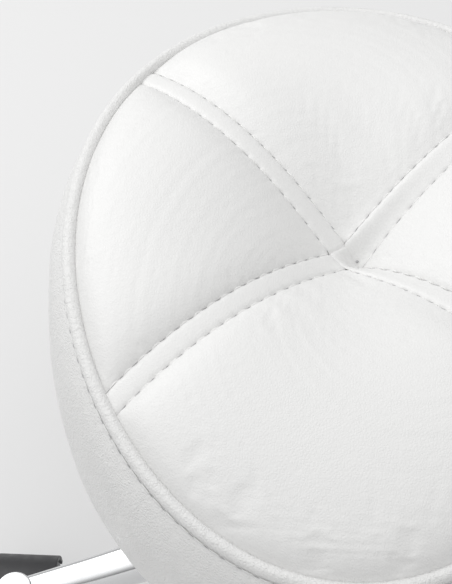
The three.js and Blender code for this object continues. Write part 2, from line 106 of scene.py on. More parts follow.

# Stitches in the groove between the piping and the side band, whose slots are dark tubes of painted shadow.
RIM_PITCH = 9 * MM
RIM_SLOT_BEYOND = 7.3 * MM
RIM_SLOT_HEIGHT = 372.3 * MM

# How far each panel sags beside the strap at its first and at its second side.
VALLEY_REACH = 5 * MM
VALLEYS = {
    "top_panel_right": (0.2 * MM, 1.6 * MM),
    "top_panel_rear": (0.6 * MM, 0.4 * MM),
    "top_panel_left": (1.8 * MM, 2.6 * MM),
    "top_panel_front": (0.8 * MM, 0.4 * MM),
}

# How strongly each panel wrinkles beside the strap at its first and at its second side.
WRINKLES = {
    "top_panel_right": (0.35, 1.2),
    "top_panel_rear": (0.5, 0.5),
    "top_panel_left": (0.6, 1.6),
    "top_panel_front": (0.5, 0.5),
}
WRINKLE_HEIGHT = 0.045 * MM
WRINKLE_REACH = 11 * MM
RIM_WRINKLE_HEIGHT = 0.09 * MM
RIM_WRINKLE_REACH = 9 * MM
RIM_DRIFT_HEIGHT = 0.05 * MM

# Folds of the side band below the piping, all over and above the hem, whose place is a share of the outline.
BAND_FOLD_HEIGHT = 0.16 * MM
BAND_DRIFT_HEIGHT = 0.35 * MM
HEM_FOLD_HEIGHT = 0.5 * MM
HEM_PLACE = 0.86
FOLD_REACH = 0.07
BAND_RISE = 60 * MM
FOAM_GAP = 4.5 * MM

# Cells of the fine meshes.
PANEL_CELLS = 150
STRAP_CELLS_ACROSS = 24
WHOLE_STRAP_CELLS = 480
HALF_STRAP_CELLS = 165
PIPING_CELLS = 900
SIDE_CELLS = 540

# Cloth simulation of the leather between its seams: a coarse net settles and the fine mesh follows it.
NET_STEP = 3
NET_FRAMES = 20
PANEL_SLACK = 0.0012
BAND_SLACK = 0.0
NET_MASS = 0.05
PANEL_PRESSURE = 4.0
BAND_PRESSURE = 1.5
PANEL_LIMIT = 1.3 * MM
BAND_LIMIT = 0.5 * MM

DIAGONALS = [math.radians(45 + 90 * k) for k in range(4)]


# ---- mesh helpers

def add_object(name, mesh):
    thing = bpy.data.objects.new(name, mesh)
    bpy.context.scene.collection.objects.link(thing)
    return thing


def shade_smooth(mesh, sharp_angle):
    mesh.polygons.foreach_set("use_smooth", [True] * len(mesh.polygons))
    mesh.set_sharp_from_angle(angle=math.radians(sharp_angle))


def new_object(name, verts, faces, sharp_angle=50):
    mesh = bpy.data.meshes.new(name)
    mesh.from_pydata([tuple(v) for v in verts], [], [tuple(f) for f in faces])
    mesh.validate()
    shade_smooth(mesh, sharp_angle)
    return add_object(name, mesh)


def points_of(x, y, z):
    return np.stack(np.broadcast_arrays(x, y, z), -1)


def grid_faces(nu, nv, wrap_u=False, wrap_v=False, start=0):
    iu = np.arange(nu if wrap_u else nu - 1)[:, None]
    iv = np.arange(nv if wrap_v else nv - 1)[None, :]
    ju, jv = (iu + 1) % nu, (iv + 1) % nv
    quads = np.stack([iu * nv + iv, ju * nv + iv, ju * nv + jv, iu * nv + jv], -1).reshape(-1, 4)
    return (quads + start).tolist()


class Builder:
    """Collects grids of points into one mesh."""

    def __init__(self):
        self.verts = []
        self.faces = []

    def grid(self, points, wrap_u=False, wrap_v=False):
        points = np.asarray(points, float)
        nu, nv = points.shape[:2]
        self.faces += grid_faces(nu, nv, wrap_u, wrap_v, len(self.verts))
        self.verts += points.reshape(-1, 3).tolist()
        return self

    def fan(self, ring, flip=False):
        start = len(self.verts)
        self.verts += np.asarray(ring, float).tolist()
        face = list(range(start, start + len(ring)))
        self.faces.append(face[::-1] if flip else face)
        return self

    def tube(self, points, normals_up, radius, sides=8):
        """A closed tube along points, whose radius may differ from point to point."""
        points = np.asarray(points, float)
        tangents = np.gradient(points, axis=0)
        tangents /= np.linalg.norm(tangents, axis=1)[:, None]
        side = np.cross(tangents, normals_up)
        side /= np.linalg.norm(side, axis=1)[:, None]
        up = np.cross(side, tangents)
        radii = np.broadcast_to(np.asarray(radius, float), (len(points),))
        turn = np.linspace(0, TAU, sides, endpoint=False)
        ring = (np.cos(turn)[None, :, None] * side[:, None, :]
                + np.sin(turn)[None, :, None] * up[:, None, :])
        skin = points[:, None, :] + ring * radii[:, None, None]
        return self.grid(skin, wrap_v=True).fan(skin[0]).fan(skin[-1], flip=True)

    def build(self, name, sharp_angle=50):
        """Makes the object, merges doubled points, drops empty faces and turns the faces outwards."""
        thing = new_object(name, self.verts, self.faces, sharp_angle)
        work = bmesh.new()
        work.from_mesh(thing.data)
        bmesh.ops.remove_doubles(work, verts=work.verts, dist=1e-6)
        bmesh.ops.dissolve_degenerate(work, edges=work.edges, dist=1e-7)
        bmesh.ops.recalc_face_normals(work, faces=work.faces)
        work.to_mesh(thing.data)
        work.free()
        shade_smooth(thing.data, sharp_angle)
        return thing


def rounded(profile, radius, steps=4, closed=False):
    """A profile in millimetres with each corner replaced by a small curve, in metres."""
    points = [np.array(p, float) * MM for p in profile]
    radius = radius * MM
    count = len(points)
    result = []
    for i, point in enumerate(points):
        if not closed and i in (0, count - 1):
            result.append(point)
            continue
        before, after = points[i - 1] - point, points[(i + 1) % count] - point
        near, far = np.linalg.norm(before), np.linalg.norm(after)
        reach = min(radius, 0.45 * near, 0.45 * far)
        start, end = point + before / near * reach, point + after / far * reach
        for t in np.linspace(0, 1, steps):
            result.append((1 - t) ** 2 * start + 2 * t * (1 - t) * point + t * t * end)
    return np.array(result)


def revolve(builder, profile, segments, centre=(0, 0), closed=False, turn=TAU, start=0.0):
    """Turns a [radius, height] profile about a vertical axis."""
    profile = np.asarray(profile, float)
    whole = abs(turn - TAU) < 1e-9
    angle = start + np.linspace(0, turn, segments, endpoint=not whole)
    x = centre[0] + np.cos(angle)[:, None] * profile[None, :, 0]
    y = centre[1] + np.sin(angle)[:, None] * profile[None, :, 0]
    points = points_of(x, y, profile[None, :, 1])
    builder.grid(points, wrap_u=whole, wrap_v=closed)
    if not whole:
        builder.fan(points[0])
        builder.fan(points[-1], flip=True)
    return builder


def finish_piece(thing, body, slot, *nodes, material=None):
    """Gives a piece its material, by default the finish of its slot, puts it on the body that it rides on,
    and hides the CAD nodes it stands for.
    """
    thing.data.materials.clear()
    thing.data.materials.append(material or FINISHES[slot])
    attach(thing, body)
    if nodes:
        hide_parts(*nodes)
    return thing


def finish_leather(thing, node, material):
    finish_piece(thing, "seat", "white_leather", node, material=material)


def apply_modifiers(thing):
    depsgraph = bpy.context.evaluated_depsgraph_get()
    mesh = bpy.data.meshes.new_from_object(thing.evaluated_get(depsgraph))
    thing.modifiers.clear()
    thing.data = mesh


def solidify(thing, thickness, offset=-1.0):
    modifier = thing.modifiers.new("wall", "SOLIDIFY")
    modifier.thickness = thickness
    modifier.offset = offset
    apply_modifiers(thing)


def bevel(thing, width):
    modifier = thing.modifiers.new("edge", "BEVEL")
    modifier.width = width
    modifier.segments = 2
    modifier.limit_method = "ANGLE"
    modifier.angle_limit = math.radians(35)
    apply_modifiers(thing)
    shade_smooth(thing.data, 40)


def running_length(*steps):
    """Length run along a line up to each of its points, from the differences between them."""
    return np.concatenate([[0], np.cumsum(np.sqrt(sum(step ** 2 for step in steps)))])


def wave_noise(seed, frequencies, count):
    """A smooth random function of one angle-like value, made of whole waves so that it closes on itself."""
    draw = random.Random(seed)
    waves = []
    for _ in range(count):
        waves.append((draw.randint(*frequencies), draw.uniform(0, TAU), draw.uniform(0.4, 1.0)))
    total = math.sqrt(sum(w[2] ** 2 for w in waves))

    def value(angle):
        return sum(w[2] * np.sin(w[0] * angle + w[1]) for w in waves) / total

    return value


# ---- materials

def set_inputs(node, values):
    for name, value in values.items():
        node.inputs[name].default_value = value


class Look:
    """A Principled material with small helpers for procedural detail."""

    def __init__(self, name, colour, roughness, metallic=0.0):
        self.material = bpy.data.materials.new(name)
        self.material.use_nodes = True
        self.nodes = self.material.node_tree.nodes
        self.links = self.material.node_tree.links
        self.shader = self.nodes["Principled BSDF"]
        set_inputs(self.shader, {"Base Color": (*colour, 1), "Roughness": roughness, "Metallic": metallic})
        self.place = self.nodes.new("ShaderNodeTexCoord").outputs["Object"]

    def noise(self, scale, detail=2.0, roughness=0.5, stretch=None):
        place = self.place
        if stretch:
            mapping = self.nodes.new("ShaderNodeMapping")
            set_inputs(mapping, {"Scale": stretch})
            self.links.new(place, mapping.inputs["Vector"])
            place = mapping.outputs["Vector"]
        node = self.nodes.new("ShaderNodeTexNoise")
        set_inputs(node, {"Scale": scale, "Detail": detail, "Roughness": roughness})
        self.links.new(place, node.inputs["Vector"])
        return node.outputs["Fac"]

    def cells(self, scale, feature="DISTANCE_TO_EDGE"):
        node = self.nodes.new("ShaderNodeTexVoronoi")
        node.feature = feature
        set_inputs(node, {"Scale": scale})
        self.links.new(self.place, node.inputs["Vector"])
        return node.outputs["Distance"]

    def ramp(self, value, low, high, to_low=0.0, to_high=1.0):
        node = self.nodes.new("ShaderNodeMapRange")
        set_inputs(node, {"From Min": low, "From Max": high, "To Min": to_low, "To Max": to_high})
        self.links.new(value, node.inputs["Value"])
        return node.outputs["Result"]

    def math(self, operation, a, b):
        node = self.nodes.new("ShaderNodeMath")
        node.operation = operation
        for socket, value in zip(node.inputs, (a, b)):
            if isinstance(value, (int, float)):
                socket.default_value = value
            else:
                self.links.new(value, socket)
        return node.outputs["Value"]

    def tint(self, factor, first, second):
        """Base colour from first to second as factor goes from 0 to 1."""
        node = self.nodes.new("ShaderNodeMix")
        node.data_type = "RGBA"
        node.inputs[6].default_value = (*first, 1)
        node.inputs[7].default_value = (*second, 1)
        self.links.new(factor, node.inputs[0])
        self.links.new(node.outputs[2], self.shader.inputs["Base Color"])

    def gloss(self, factor, low, high):
        self.links.new(self.ramp(factor, 0.3, 0.7, low, high), self.shader.inputs["Roughness"])

    def bump(self, height, distance, strength=1.0):
        node = self.nodes.new("ShaderNodeBump")
        set_inputs(node, {"Distance": distance, "Strength": strength})
        self.links.new(height, node.inputs["Height"])
        self.links.new(node.outputs["Normal"], self.shader.inputs["Normal"])


def leather_look(name, grain):
    look = Look(name, (0.78, 0.778, 0.77), 0.42)
    pebbles = look.ramp(look.cells(620), 0.0, 0.3)
    fine = look.noise(1500, 3.0, 0.6)
    creases = look.noise(330, 3.0, 0.55, stretch=(1.0, 0.6, 0.6))
    height = look.math("MULTIPLY", look.math("ADD", pebbles, fine), 0.5)
    height = look.math("ADD", height, look.math("MULTIPLY", creases, 1.6))
    look.bump(height, 0.4 * MM, grain)
    look.tint(look.noise(14), (0.775, 0.775, 0.77), (0.81, 0.808, 0.80))
    look.gloss(look.noise(60, 3.0), 0.36, 0.5)
    set_inputs(look.shader, {"Coat Weight": 0.08, "Coat Roughness": 0.3, "Specular IOR Level": 0.45})
    return look.material


def thread_look():
    look = Look("thread", (0.83, 0.83, 0.82), 0.6)
    twist = look.noise(1500)
    look.bump(twist, 0.1 * MM, 0.5)
    look.tint(twist, (0.80, 0.80, 0.79), (0.87, 0.87, 0.86))
    set_inputs(look.shader, {"Sheen Weight": 0.15})
    return look.material


# Painted shade: a dark grey that stands for the shadow inside the needle slots and the tuft's needle hole,
# not a colour of the leather.
def slot_shade_look():
    look = Look("needle_slot_painted_shade", (0.42, 0.42, 0.425), 0.8)
    look.tint(look.noise(900), (0.34, 0.34, 0.345), (0.54, 0.54, 0.545))
    return look.material


def chrome_look(name, roughness):
    look = Look(name, (0.80, 0.81, 0.82), roughness, 1.0)
    look.gloss(look.noise(35, 4.0, 0.65), roughness * 0.6, roughness * 2.2)
    look.bump(look.noise(900, stretch=(1, 1, 0.05)), 0.01 * MM, 0.15)
    look.tint(look.noise(20, 3.0), (0.78, 0.79, 0.80), (0.84, 0.845, 0.85))
    return look.material


def zinc_look():
    look = Look("zinc_finish", (0.55, 0.56, 0.57), 0.35, 1.0)
    flakes = look.ramp(look.cells(260, "F1"), 0.0, 0.8)
    look.tint(flakes, (0.5, 0.51, 0.53), (0.64, 0.645, 0.65))
    look.gloss(look.noise(120, 3.0), 0.28, 0.5)
    look.bump(look.noise(700, 3.0), 0.03 * MM, 0.4)
    return look.material


def powder_coat_look():
    look = Look("powder_coat", (0.025, 0.026, 0.028), 0.42)
    look.bump(look.noise(900), 0.08 * MM, 0.5)
    look.tint(look.noise(25, 4.0, 0.7), (0.02, 0.021, 0.023), (0.035, 0.036, 0.038))
    look.gloss(look.noise(80, 3.0), 0.34, 0.52)
    return look.material


def nylon_look(name, colour, lift):
    look = Look(name, colour, 0.45)
    look.bump(look.cells(1100, "SMOOTH_F1"), 0.06 * MM, 0.45)
    look.tint(look.noise(30, 4.0, 0.7), colour, [c * lift for c in colour])
    look.gloss(look.noise(150, 3.0), 0.36, 0.55)
    return look.material


def plywood_look():
    look = Look("plywood_finish", (0.62, 0.45, 0.28), 0.7)
    plies = look.nodes.new("ShaderNodeTexWave")
    plies.wave_type = "BANDS"
    plies.bands_direction = "Z"
    set_inputs(plies, {"Scale": 110, "Distortion": 0.4})
    look.links.new(look.place, plies.inputs["Vector"])
    fibre = look.noise(60, 5.0, 0.6, stretch=(0.15, 1.0, 1.0))
    mixed = look.math("MULTIPLY", look.math("ADD", plies.outputs["Fac"], fibre), 0.5)
    look.tint(mixed, (0.45, 0.30, 0.17), (0.72, 0.55, 0.36))
    look.bump(fibre, 0.2 * MM, 0.5)
    return look.material


def felt_look():
    look = Look("felt_finish", (0.02, 0.02, 0.022), 0.95)
    fibres = look.noise(1200, 4.0, 0.7)
    look.bump(fibres, 0.25 * MM, 0.7)
    look.tint(fibres, (0.012, 0.012, 0.014), (0.05, 0.05, 0.053))
    set_inputs(look.shader, {"Sheen Weight": 0.3})
    return look.material


def foam_look():
    look = Look("foam_finish", (0.82, 0.76, 0.52), 0.95)
    pores = look.cells(700, "F1")
    look.bump(pores, 0.4 * MM, 0.8)
    look.tint(pores, (0.62, 0.55, 0.34), (0.86, 0.80, 0.58))
    return look.material


LEATHER_TOP = leather_look("white_leather_top", 0.4)
LEATHER_SIDE = leather_look("white_leather_side", 1.0)
THREAD = thread_look()
# The needle slots' material is painted shade, not the leather's own colour.
SLOT_SHADE = slot_shade_look()
FINISHES = {
    "white_leather": LEATHER_SIDE,
    "seat_foam": foam_look(),
    "plywood": plywood_look(),
    "dust_felt": felt_look(),
    "chrome": chrome_look("chrome_finish", 0.07),
    "polished_aluminium": chrome_look("polished_aluminium_finish", 0.12),
    "zinc_steel": zinc_look(),
    "black_steel": powder_coat_look(),
    "black_nylon": nylon_look("black_nylon_finish", (0.022, 0.022, 0.024), 1.8),
    "grey_tyre": nylon_look("grey_tyre_finish", (0.13, 0.135, 0.142), 1.35),
}


# ---- shape of the seat

def strap_axes(index, side=1):
    """Unit vectors along a strap, outwards, and towards its edge on the given side."""
    cos, sin = math.cos(DIAGONALS[index]), math.sin(DIAGONALS[index])
    return np.array([cos, sin]), np.array([-sin, cos]) * side


def smoothstep(value):
    value = np.clip(value, 0, 1)
    return value ** 2 * (3 - 2 * value)


def rising(distance, scale):
    """0 at no distance, towards 1 far away."""
    return 1 - np.exp(-distance / scale)


def reach(x, y):
    """0 at the middle of the seat, 1 on the seam ring."""
    return np.hypot(x / SEAM_X, y / SEAM_Y)


def saddle(x, y):
    """Lifts the front and rear and lowers the two sides."""
    rise = SADDLE * ((y / SEAM_Y) ** 2 - (x / SEAM_X) ** 2)
    return rise / np.maximum(reach(x, y), 1) ** 2


def corner_drop(x, y):
    """How far the tuft's thread pulls the leather down beside the crossing."""
    along_whole = smoothstep(((x + y) * math.sqrt(0.5) + HALF_STRAP) / STRAP_WIDTH)
    along_half = smoothstep(((y - x) * math.sqrt(0.5) + HALF_STRAP) / STRAP_WIDTH)
    corner = along_whole * along_half
    pull = np.exp(-((x - PULL_PLACE[0]) ** 2 + (y - PULL_PLACE[1]) ** 2) / PULL_REACH ** 2)
    return CORNER_DROP * corner * np.exp(-np.hypot(x, y) / CORNER_REACH) + PULL_DEPTH * pull


def base_height(x, y):
    """The crowned and dipped surface that the straps follow."""
    t = np.minimum(np.sqrt(reach(x, y) ** 2 + DIMPLE_ROUND ** 2), 1)
    crown = 4 * CROWN * t * (1 - t) - TUFT_DEPTH * (1 - t) * (1 - 2 * t)
    return SEAM_HEIGHT + crown + saddle(x, y) - corner_drop(x, y)


def ring_point(angle, beyond=0.0):
    """A point of the oval ring, moved outwards."""
    return (SEAM_X + beyond) * np.cos(angle), (SEAM_Y + beyond) * np.sin(angle)


def length_to_ring(origin, direction, beyond=0.0):
    """How far a line from origin runs along direction before it meets the oval ring."""
    wide, deep = SEAM_X + beyond, SEAM_Y + beyond
    ox, oy = origin[0] / wide, origin[1] / deep
    dx, dy = direction[0] / wide, direction[1] / deep
    a, b, c = dx * dx + dy * dy, ox * dx + oy * dy, ox * ox + oy * oy - 1
    return (-b + np.sqrt(b * b - a * c)) / a


def ring_angle(point, beyond=0.0):
    """The angle for which ring_point gives this point of the ring."""
    return math.atan2(point[1] / (SEAM_Y + beyond), point[0] / (SEAM_X + beyond))


def distance_to_rim(x, y):
    e = np.maximum(reach(x, y), 1e-6)
    return np.maximum(1 - e, 0) * np.hypot(x, y) / e


def pinch(along, pitch):
    """1 where the needle went through, 0 half way between."""
    return (0.5 + 0.5 * np.cos(TAU * (np.abs(along) - HALF_STRAP) / pitch)) ** 2


def seam_dip(distance, along, pitch):
    """How far the leather is drawn down near a stitched seam."""
    return SEAM_DIP * np.exp(-distance / SEAM_DIP_REACH) * (0.7 + 0.6 * pinch(along, pitch))


def rim_dip(distance):
    return RIM_DIP * np.exp(-((distance / RIM_ROLL) ** 1.2))


# ---- leather settled as cloth

def net_weights(fine_count, wrap):
    """Spline weights that carry values from the net's points in a row to all points of that row."""
    coarse_count = fine_count // NET_STEP if wrap else (fine_count - 1) // NET_STEP + 1
    weights = np.zeros((fine_count, coarse_count))
    for i in range(fine_count):
        k, t = i // NET_STEP, (i % NET_STEP) / NET_STEP
        spline = (
            -t + 2 * t ** 2 - t ** 3,
            2 - 5 * t ** 2 + 3 * t ** 3,
            t + 4 * t ** 2 - 3 * t ** 3,
            t ** 3 - t ** 2,
        )
        for shift, weight in enumerate(spline):
            j = k + shift - 1
            j = j % coarse_count if wrap else min(max(j, 0), coarse_count - 1)
            weights[i, j] += weight / 2
    return weights


def settle(points, pressure, slack, limit, wrap=False):
    """Sews a net of leather down at its edges, lets air pressure and slack work, returns the points moved."""
    net_points = points[::NET_STEP, ::NET_STEP]
    nu, nv = net_points.shape[:2]
    net = new_object("net", net_points.reshape(-1, 3), grid_faces(nu, nv, wrap_u=wrap), 180)
    sewn = np.zeros((nu, nv), bool)
    sewn[:, [0, -1]] = True
    if not wrap:
        sewn[[0, -1], :] = True
    group = net.vertex_groups.new(name="sewn")
    group.add(np.flatnonzero(sewn).tolist(), 1.0, "REPLACE")
    cloth = net.modifiers.new("cloth", "CLOTH")
    cloth.settings.quality = 6
    cloth.settings.mass = NET_MASS
    cloth.settings.tension_stiffness = 15
    cloth.settings.compression_stiffness = 15
    cloth.settings.shear_stiffness = 5
    cloth.settings.bending_stiffness = 0.5
    cloth.settings.vertex_group_mass = group.name
    cloth.settings.use_pressure = True
    cloth.settings.uniform_pressure_force = pressure
    cloth.settings.shrink_min = -slack
    cloth.settings.effector_weights.gravity = 0
    cloth.collision_settings.use_collision = False
    cloth.collision_settings.use_self_collision = False
    cloth.point_cache.frame_start = 1
    cloth.point_cache.frame_end = NET_FRAMES
    scene = bpy.context.scene
    for number in range(1, NET_FRAMES + 1):
        scene.frame_set(number)
    apply_modifiers(net)
    settled = np.empty(len(net.data.vertices) * 3)
    net.data.vertices.foreach_get("co", settled)
    bpy.data.objects.remove(net)
    scene.frame_set(1)
    moved = settled.reshape(nu, nv, 3) - net_points
    size = np.linalg.norm(moved, axis=2, keepdims=True) + 1e-9
    moved = moved * limit * np.tanh(size / limit) / size
    along_u = net_weights(points.shape[0], wrap)
    along_v = net_weights(points.shape[1], False)
    return points + np.einsum("ia,jb,abk->ijk", along_u, along_v, moved)


# ---- top panels

def seam_spacing(count):
    """Steps from 0 to 1, closer together near both ends."""
    even = np.linspace(0, 1, count + 1)
    return 0.65 * even + 0.35 * (0.5 - 0.5 * np.cos(math.pi * even))


def panel_plan(index, count):
    """Plan points of the panel between two straps, on a grid that fits its four sides."""
    a, b = strap_axes(index - 1)[0], strap_axes(index)[0]
    corner = a * HALF_WIDTHS[index] + b * HALF_WIDTHS[index - 1]
    end_a = corner + a * length_to_ring(corner, a, RIM_TUCK)
    end_b = corner + b * length_to_ring(corner, b, RIM_TUCK)
    from_angle, to_angle = ring_angle(end_a, RIM_TUCK), ring_angle(end_b, RIM_TUCK)
    if to_angle < from_angle:
        to_angle += TAU
    middle = (from_angle + to_angle) / 2
    t = seam_spacing(count)
    u, v = t[:, None, None], t[None, :, None]

    def arc(start, end, share):
        x, y = ring_point(start + (end - start) * share, RIM_TUCK)
        return np.stack([x, y], -1)

    bottom = corner + (end_a - corner) * u
    left = corner + (end_b - corner) * v
    top = arc(to_angle, middle, t)[:, None, :]
    right = arc(from_angle, middle, t)[None, :, :]
    far = arc(middle, middle, np.array([0.0]))[0]
    corners = (1 - u) * (1 - v) * corner + u * (1 - v) * end_a + (1 - u) * v * end_b + u * v * far
    plan = (1 - v) * bottom + v * top + (1 - u) * left + u * right - corners
    return plan[..., 0], plan[..., 1], plan @ a, plan @ b


def puff(x, y, gap_a, gap_b):
    """How far the foam lifts a panel above its seams."""
    height = PUFF_MIDDLE + (PUFF_RIM - PUFF_MIDDLE) * np.minimum(reach(x, y), 1)
    total = height
    for gap in (gap_a, gap_b):
        total = total * rising(gap, PUFF_REACH)
    return total * rising(distance_to_rim(x, y), 1.4 * RIM_ROLL)


def ripples(name, seed, x, y, gap_a, gap_b):
    """Fine slanting wrinkles that run out of the strap seams and the rim seam."""
    total = 0
    sides = ((gap_b, gap_a, WRINKLES[name][0]), (gap_a, gap_b, WRINKLES[name][1]))
    for side, (along, distance, strength) in enumerate(sides):
        wave = wave_noise(seed + side, (150, 330), 14)
        slow = wave_noise(seed + side + 30, (4, 15), 5)
        angle = (along + 0.9 * distance) / 0.18 + 0.02 * slow(along / 0.05)
        patch = 0.6 + 0.4 * slow(along / 0.06 + distance / 0.03)
        fade = rising(distance, 1.5 * MM) * np.exp(-((distance / WRINKLE_REACH) ** 2))
        total = total + WRINKLE_HEIGHT * strength * patch * wave(angle) * fade
    rim = distance_to_rim(x, y)
    angle = np.arctan2(y / SEAM_Y, x / SEAM_X)
    rim_wave = wave_noise(seed + 50, (90, 190), 9)
    drift = wave_noise(seed + 60, (12, 40), 7)
    near_rim = rising(rim, 2 * MM) * np.exp(-rim / RIM_WRINKLE_REACH)
    total = total + RIM_WRINKLE_HEIGHT * rim_wave(angle) * near_rim
    return total + RIM_DRIFT_HEIGHT * drift(angle + rim / 0.05) * rising(rim, 8 * MM)


def build_panel(name, index):
    """A puffed panel, settled as cloth, then wrinkled and drawn down along its seams."""
    x, y, along_a, along_b = panel_plan(index, PANEL_CELLS)
    gap_a = np.maximum(along_b - HALF_WIDTHS[index - 1], 0)
    gap_b = np.maximum(along_a - HALF_WIDTHS[index], 0)
    z = base_height(x, y) + puff(x, y, gap_a, gap_b)
    for gap, other, depth in ((gap_a, gap_b, VALLEYS[name][0]), (gap_b, gap_a, VALLEYS[name][1])):
        inside = rising(other, VALLEY_REACH) * rising(distance_to_rim(x, y), VALLEY_REACH)
        z = z - depth * inside * gap / VALLEY_REACH * np.exp(1 - gap / VALLEY_REACH)
    surface = points_of(x, y, z)
    x, y, z = np.moveaxis(settle(surface, PANEL_PRESSURE, PANEL_SLACK, PANEL_LIMIT), -1, 0)
    z = z + ripples(name, 10 * index, x, y, gap_a, gap_b)
    z = z - seam_dip(gap_a, along_a, STITCH_PITCHES[index - 1])
    z = z - seam_dip(gap_b, along_b, STITCH_PITCHES[index])
    z = z - rim_dip(distance_to_rim(x, y))
    panel = Builder().grid(points_of(x, y, z)).build(name + "_cover", 80)
    solidify(panel, LEATHER_THICKNESS)
    finish_leather(panel, name, LEATHER_TOP)


for panel_index, panel_name in enumerate(VALLEYS):
    build_panel(panel_name, panel_index)


# ---- straps and stitching

def strap_surface(index, start, across, share):
    """Points of a strap: share runs from its start, or else from rim to rim, and across from edge to edge."""
    d, n = strap_axes(index)
    offset = across[None, :]
    origin = (n[0] * offset, n[1] * offset)
    far = length_to_ring(origin, d, RIM_TUCK)
    near = -length_to_ring(origin, -d, RIM_TUCK) if start is None else start
    along = near + (far - near) * share[:, None]
    x, y = origin[0] + d[0] * along, origin[1] + d[1] * along
    edge = HALF_WIDTHS[index] - np.abs(offset)
    z = base_height(x, y) + STRAP_CROWN * rising(edge, 1.6 * MM)
    pitch = np.where(along > 0, STITCH_PITCHES[index], STITCH_PITCHES[index - 2])
    z = z - seam_dip(edge, along, pitch) - rim_dip(distance_to_rim(x, y))
    if start is None:
        z = z - CREASE_DEPTH * np.exp(-(((along + HALF_STRAP) / CREASE_REACH) ** 2))
    else:
        z = z - 1.5 * SEAM_DIP * np.exp(-(along - start) / SEAM_DIP_REACH)
    return points_of(x, y, z)


def build_strap(name, index, start, cells):
    """A flat strap, with more cells near its edges and, on the whole strap, near the crossing."""
    across = HALF_WIDTHS[index] * np.sin(np.linspace(-1, 1, STRAP_CELLS_ACROSS + 1) * math.pi / 2)
    share = np.linspace(0, 1, cells + 1)
    if start is None:
        share = 0.5 + 0.6 * (share - 0.5) + 1.6 * (share - 0.5) ** 3
    strap = Builder().grid(strap_surface(index, start, across, share)).build(name + "_cover", 80)
    solidify(strap, LEATHER_THICKNESS)
    finish_leather(strap, name, LEATHER_TOP)


def stitch_row(threads, slot_shades, index, side, first, last):
    """One row of stitches along a strap edge: slanted needle slots, drawn as thin dark tubes of painted
    shadow, with the thread between them.
    """
    pitch = STITCH_PITCHES[index]
    d, n = strap_axes(index, side)
    edge = HALF_WIDTHS[index] + 0.1 * MM
    for k in range(int((last - first) / pitch) + 1):
        slot = first + (k + 1) * pitch
        share = np.linspace(-0.5, 0.5, 9)
        thread_along = slot - pitch / 2 + share * (pitch - HOLE_LENGTH)
        if thread_along[-1] > last:
            break
        x, y = d[0] * thread_along + n[0] * edge, d[1] * thread_along + n[1] * edge
        bow = np.cos(share * math.pi) ** 0.5
        z = base_height(x, y) - SEAM_DIP * 0.8 + (bow * 0.8 - 0.4) * MM
        threads.tube(points_of(x, y, z), (0, 0, 1), THREAD_RADIUS * (0.5 + 0.5 * bow), 8)
        if slot + HOLE_LENGTH / 2 > last:
            break
        # Each slot is a thin dark tube: painted shadow where the thread goes into the leather.
        slant = edge + share * HOLE_SLANT * HOLE_LENGTH * side
        slot_along = slot + share * HOLE_LENGTH
        x, y = d[0] * slot_along + n[0] * slant, d[1] * slot_along + n[1] * slant
        z = base_height(x, y) - SEAM_DIP * 1.2 + 0.15 * MM
        slot_shades.tube(points_of(x, y, z), (0, 0, 1), HOLE_WIDTH * np.cos(share * 2.6), 6)


def finish_stitches(place, threads, slot_shades):
    finish_piece(threads.build(place + "_stitches", 70), "seat", "white_leather", material=THREAD)
    # The slots and the tuft's hole take the dark grey of painted shade.
    finish_piece(slot_shades.build(place + "_needle_slot_shades", 70), "seat", "white_leather", material=SLOT_SHADE)


def build_stitching():
    """Both rows of stitches of every strap, and the tuft's needle hole beside the crossing, with dark tubes
    of painted shadow in the slots and in the hole.
    """
    threads, slot_shades = Builder(), Builder()
    for index in range(len(DIAGONALS)):
        for side in (1, -1):
            d, n = strap_axes(index, side)
            last = length_to_ring(n * HALF_WIDTHS[index], d) - 2 * MM
            beside = HALF_WIDTHS[(index + side) % 4]
            stitch_row(threads, slot_shades, index, side, beside + 0.5 * MM, last)
    # The tuft's needle hole: a short dark tube of painted shadow on the surface.
    along = np.linspace(-1, 1, 7) * 0.9 * MM
    x, y = np.full(7, PULL_PLACE[0]), PULL_PLACE[1] + along
    needle_radius = 0.85 * MM * np.cos(np.linspace(-1.2, 1.2, 7))
    slot_shades.tube(points_of(x, y, base_height(x, y) + 0.25 * MM), (0, 0, 1), needle_radius, 8)
    finish_stitches("strap", threads, slot_shades)


build_strap("strap_whole", 0, None, WHOLE_STRAP_CELLS)
build_strap("strap_half_front", 3, HALF_STRAP_START, HALF_STRAP_CELLS)
build_strap("strap_half_rear", 1, HALF_STRAP_START, HALF_STRAP_CELLS)
build_stitching()


# ---- piping and side band

def rim_height(angle):
    """How far the saddle lifts the rim."""
    return -SADDLE * np.cos(2 * angle)


def band_height(heights, angle):
    """Heights of the band's outline round the seat: the saddle fades out towards the level hem."""
    share = np.clip((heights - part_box("seat_board")[1][2]) / BAND_RISE, 0, 1)
    return heights[None, :] + rim_height(angle) * share[None, :]


def build_piping():
    """The round welt on the seam ring, puckered a little on its upper side."""
    angle = np.linspace(0, TAU, PIPING_CELLS, endpoint=False)[:, None]
    turn = np.linspace(0, TAU, 20, endpoint=False)[None, :]
    puckers = wave_noise(11, (230, 420), 10)(angle + 0.004 * np.sin(turn))
    radius = PIPING_RADIUS + 0.12 * MM * puckers * (0.5 + 0.5 * np.sin(turn))
    x, y = ring_point(angle, PIPING_OFFSET + radius * np.cos(turn))
    z = SEAM_HEIGHT - PIPING_DROP + rim_height(angle) + radius * np.sin(turn)
    piping = Builder().grid(points_of(x, y, z), wrap_u=True, wrap_v=True).build("piping_roll", 80)
    finish_leather(piping, "piping", LEATHER_SIDE)


# Outline of the side band as [distance beyond the seam ring, height], from the piping to the hem.
SIDE_OUTLINE = np.array([
    [2.5, 371.0], [5.2, 372.6], [8.6, 370.2], [13.2, 362.5], [16.8, 351.0], [18.6, 338.0], [19.4, 322.0],
    [17.6, 306.0], [12.0, 293.5], [5.5, 288.4], [-2.5, 287.0], [-10.6, 287.0],
]) * MM


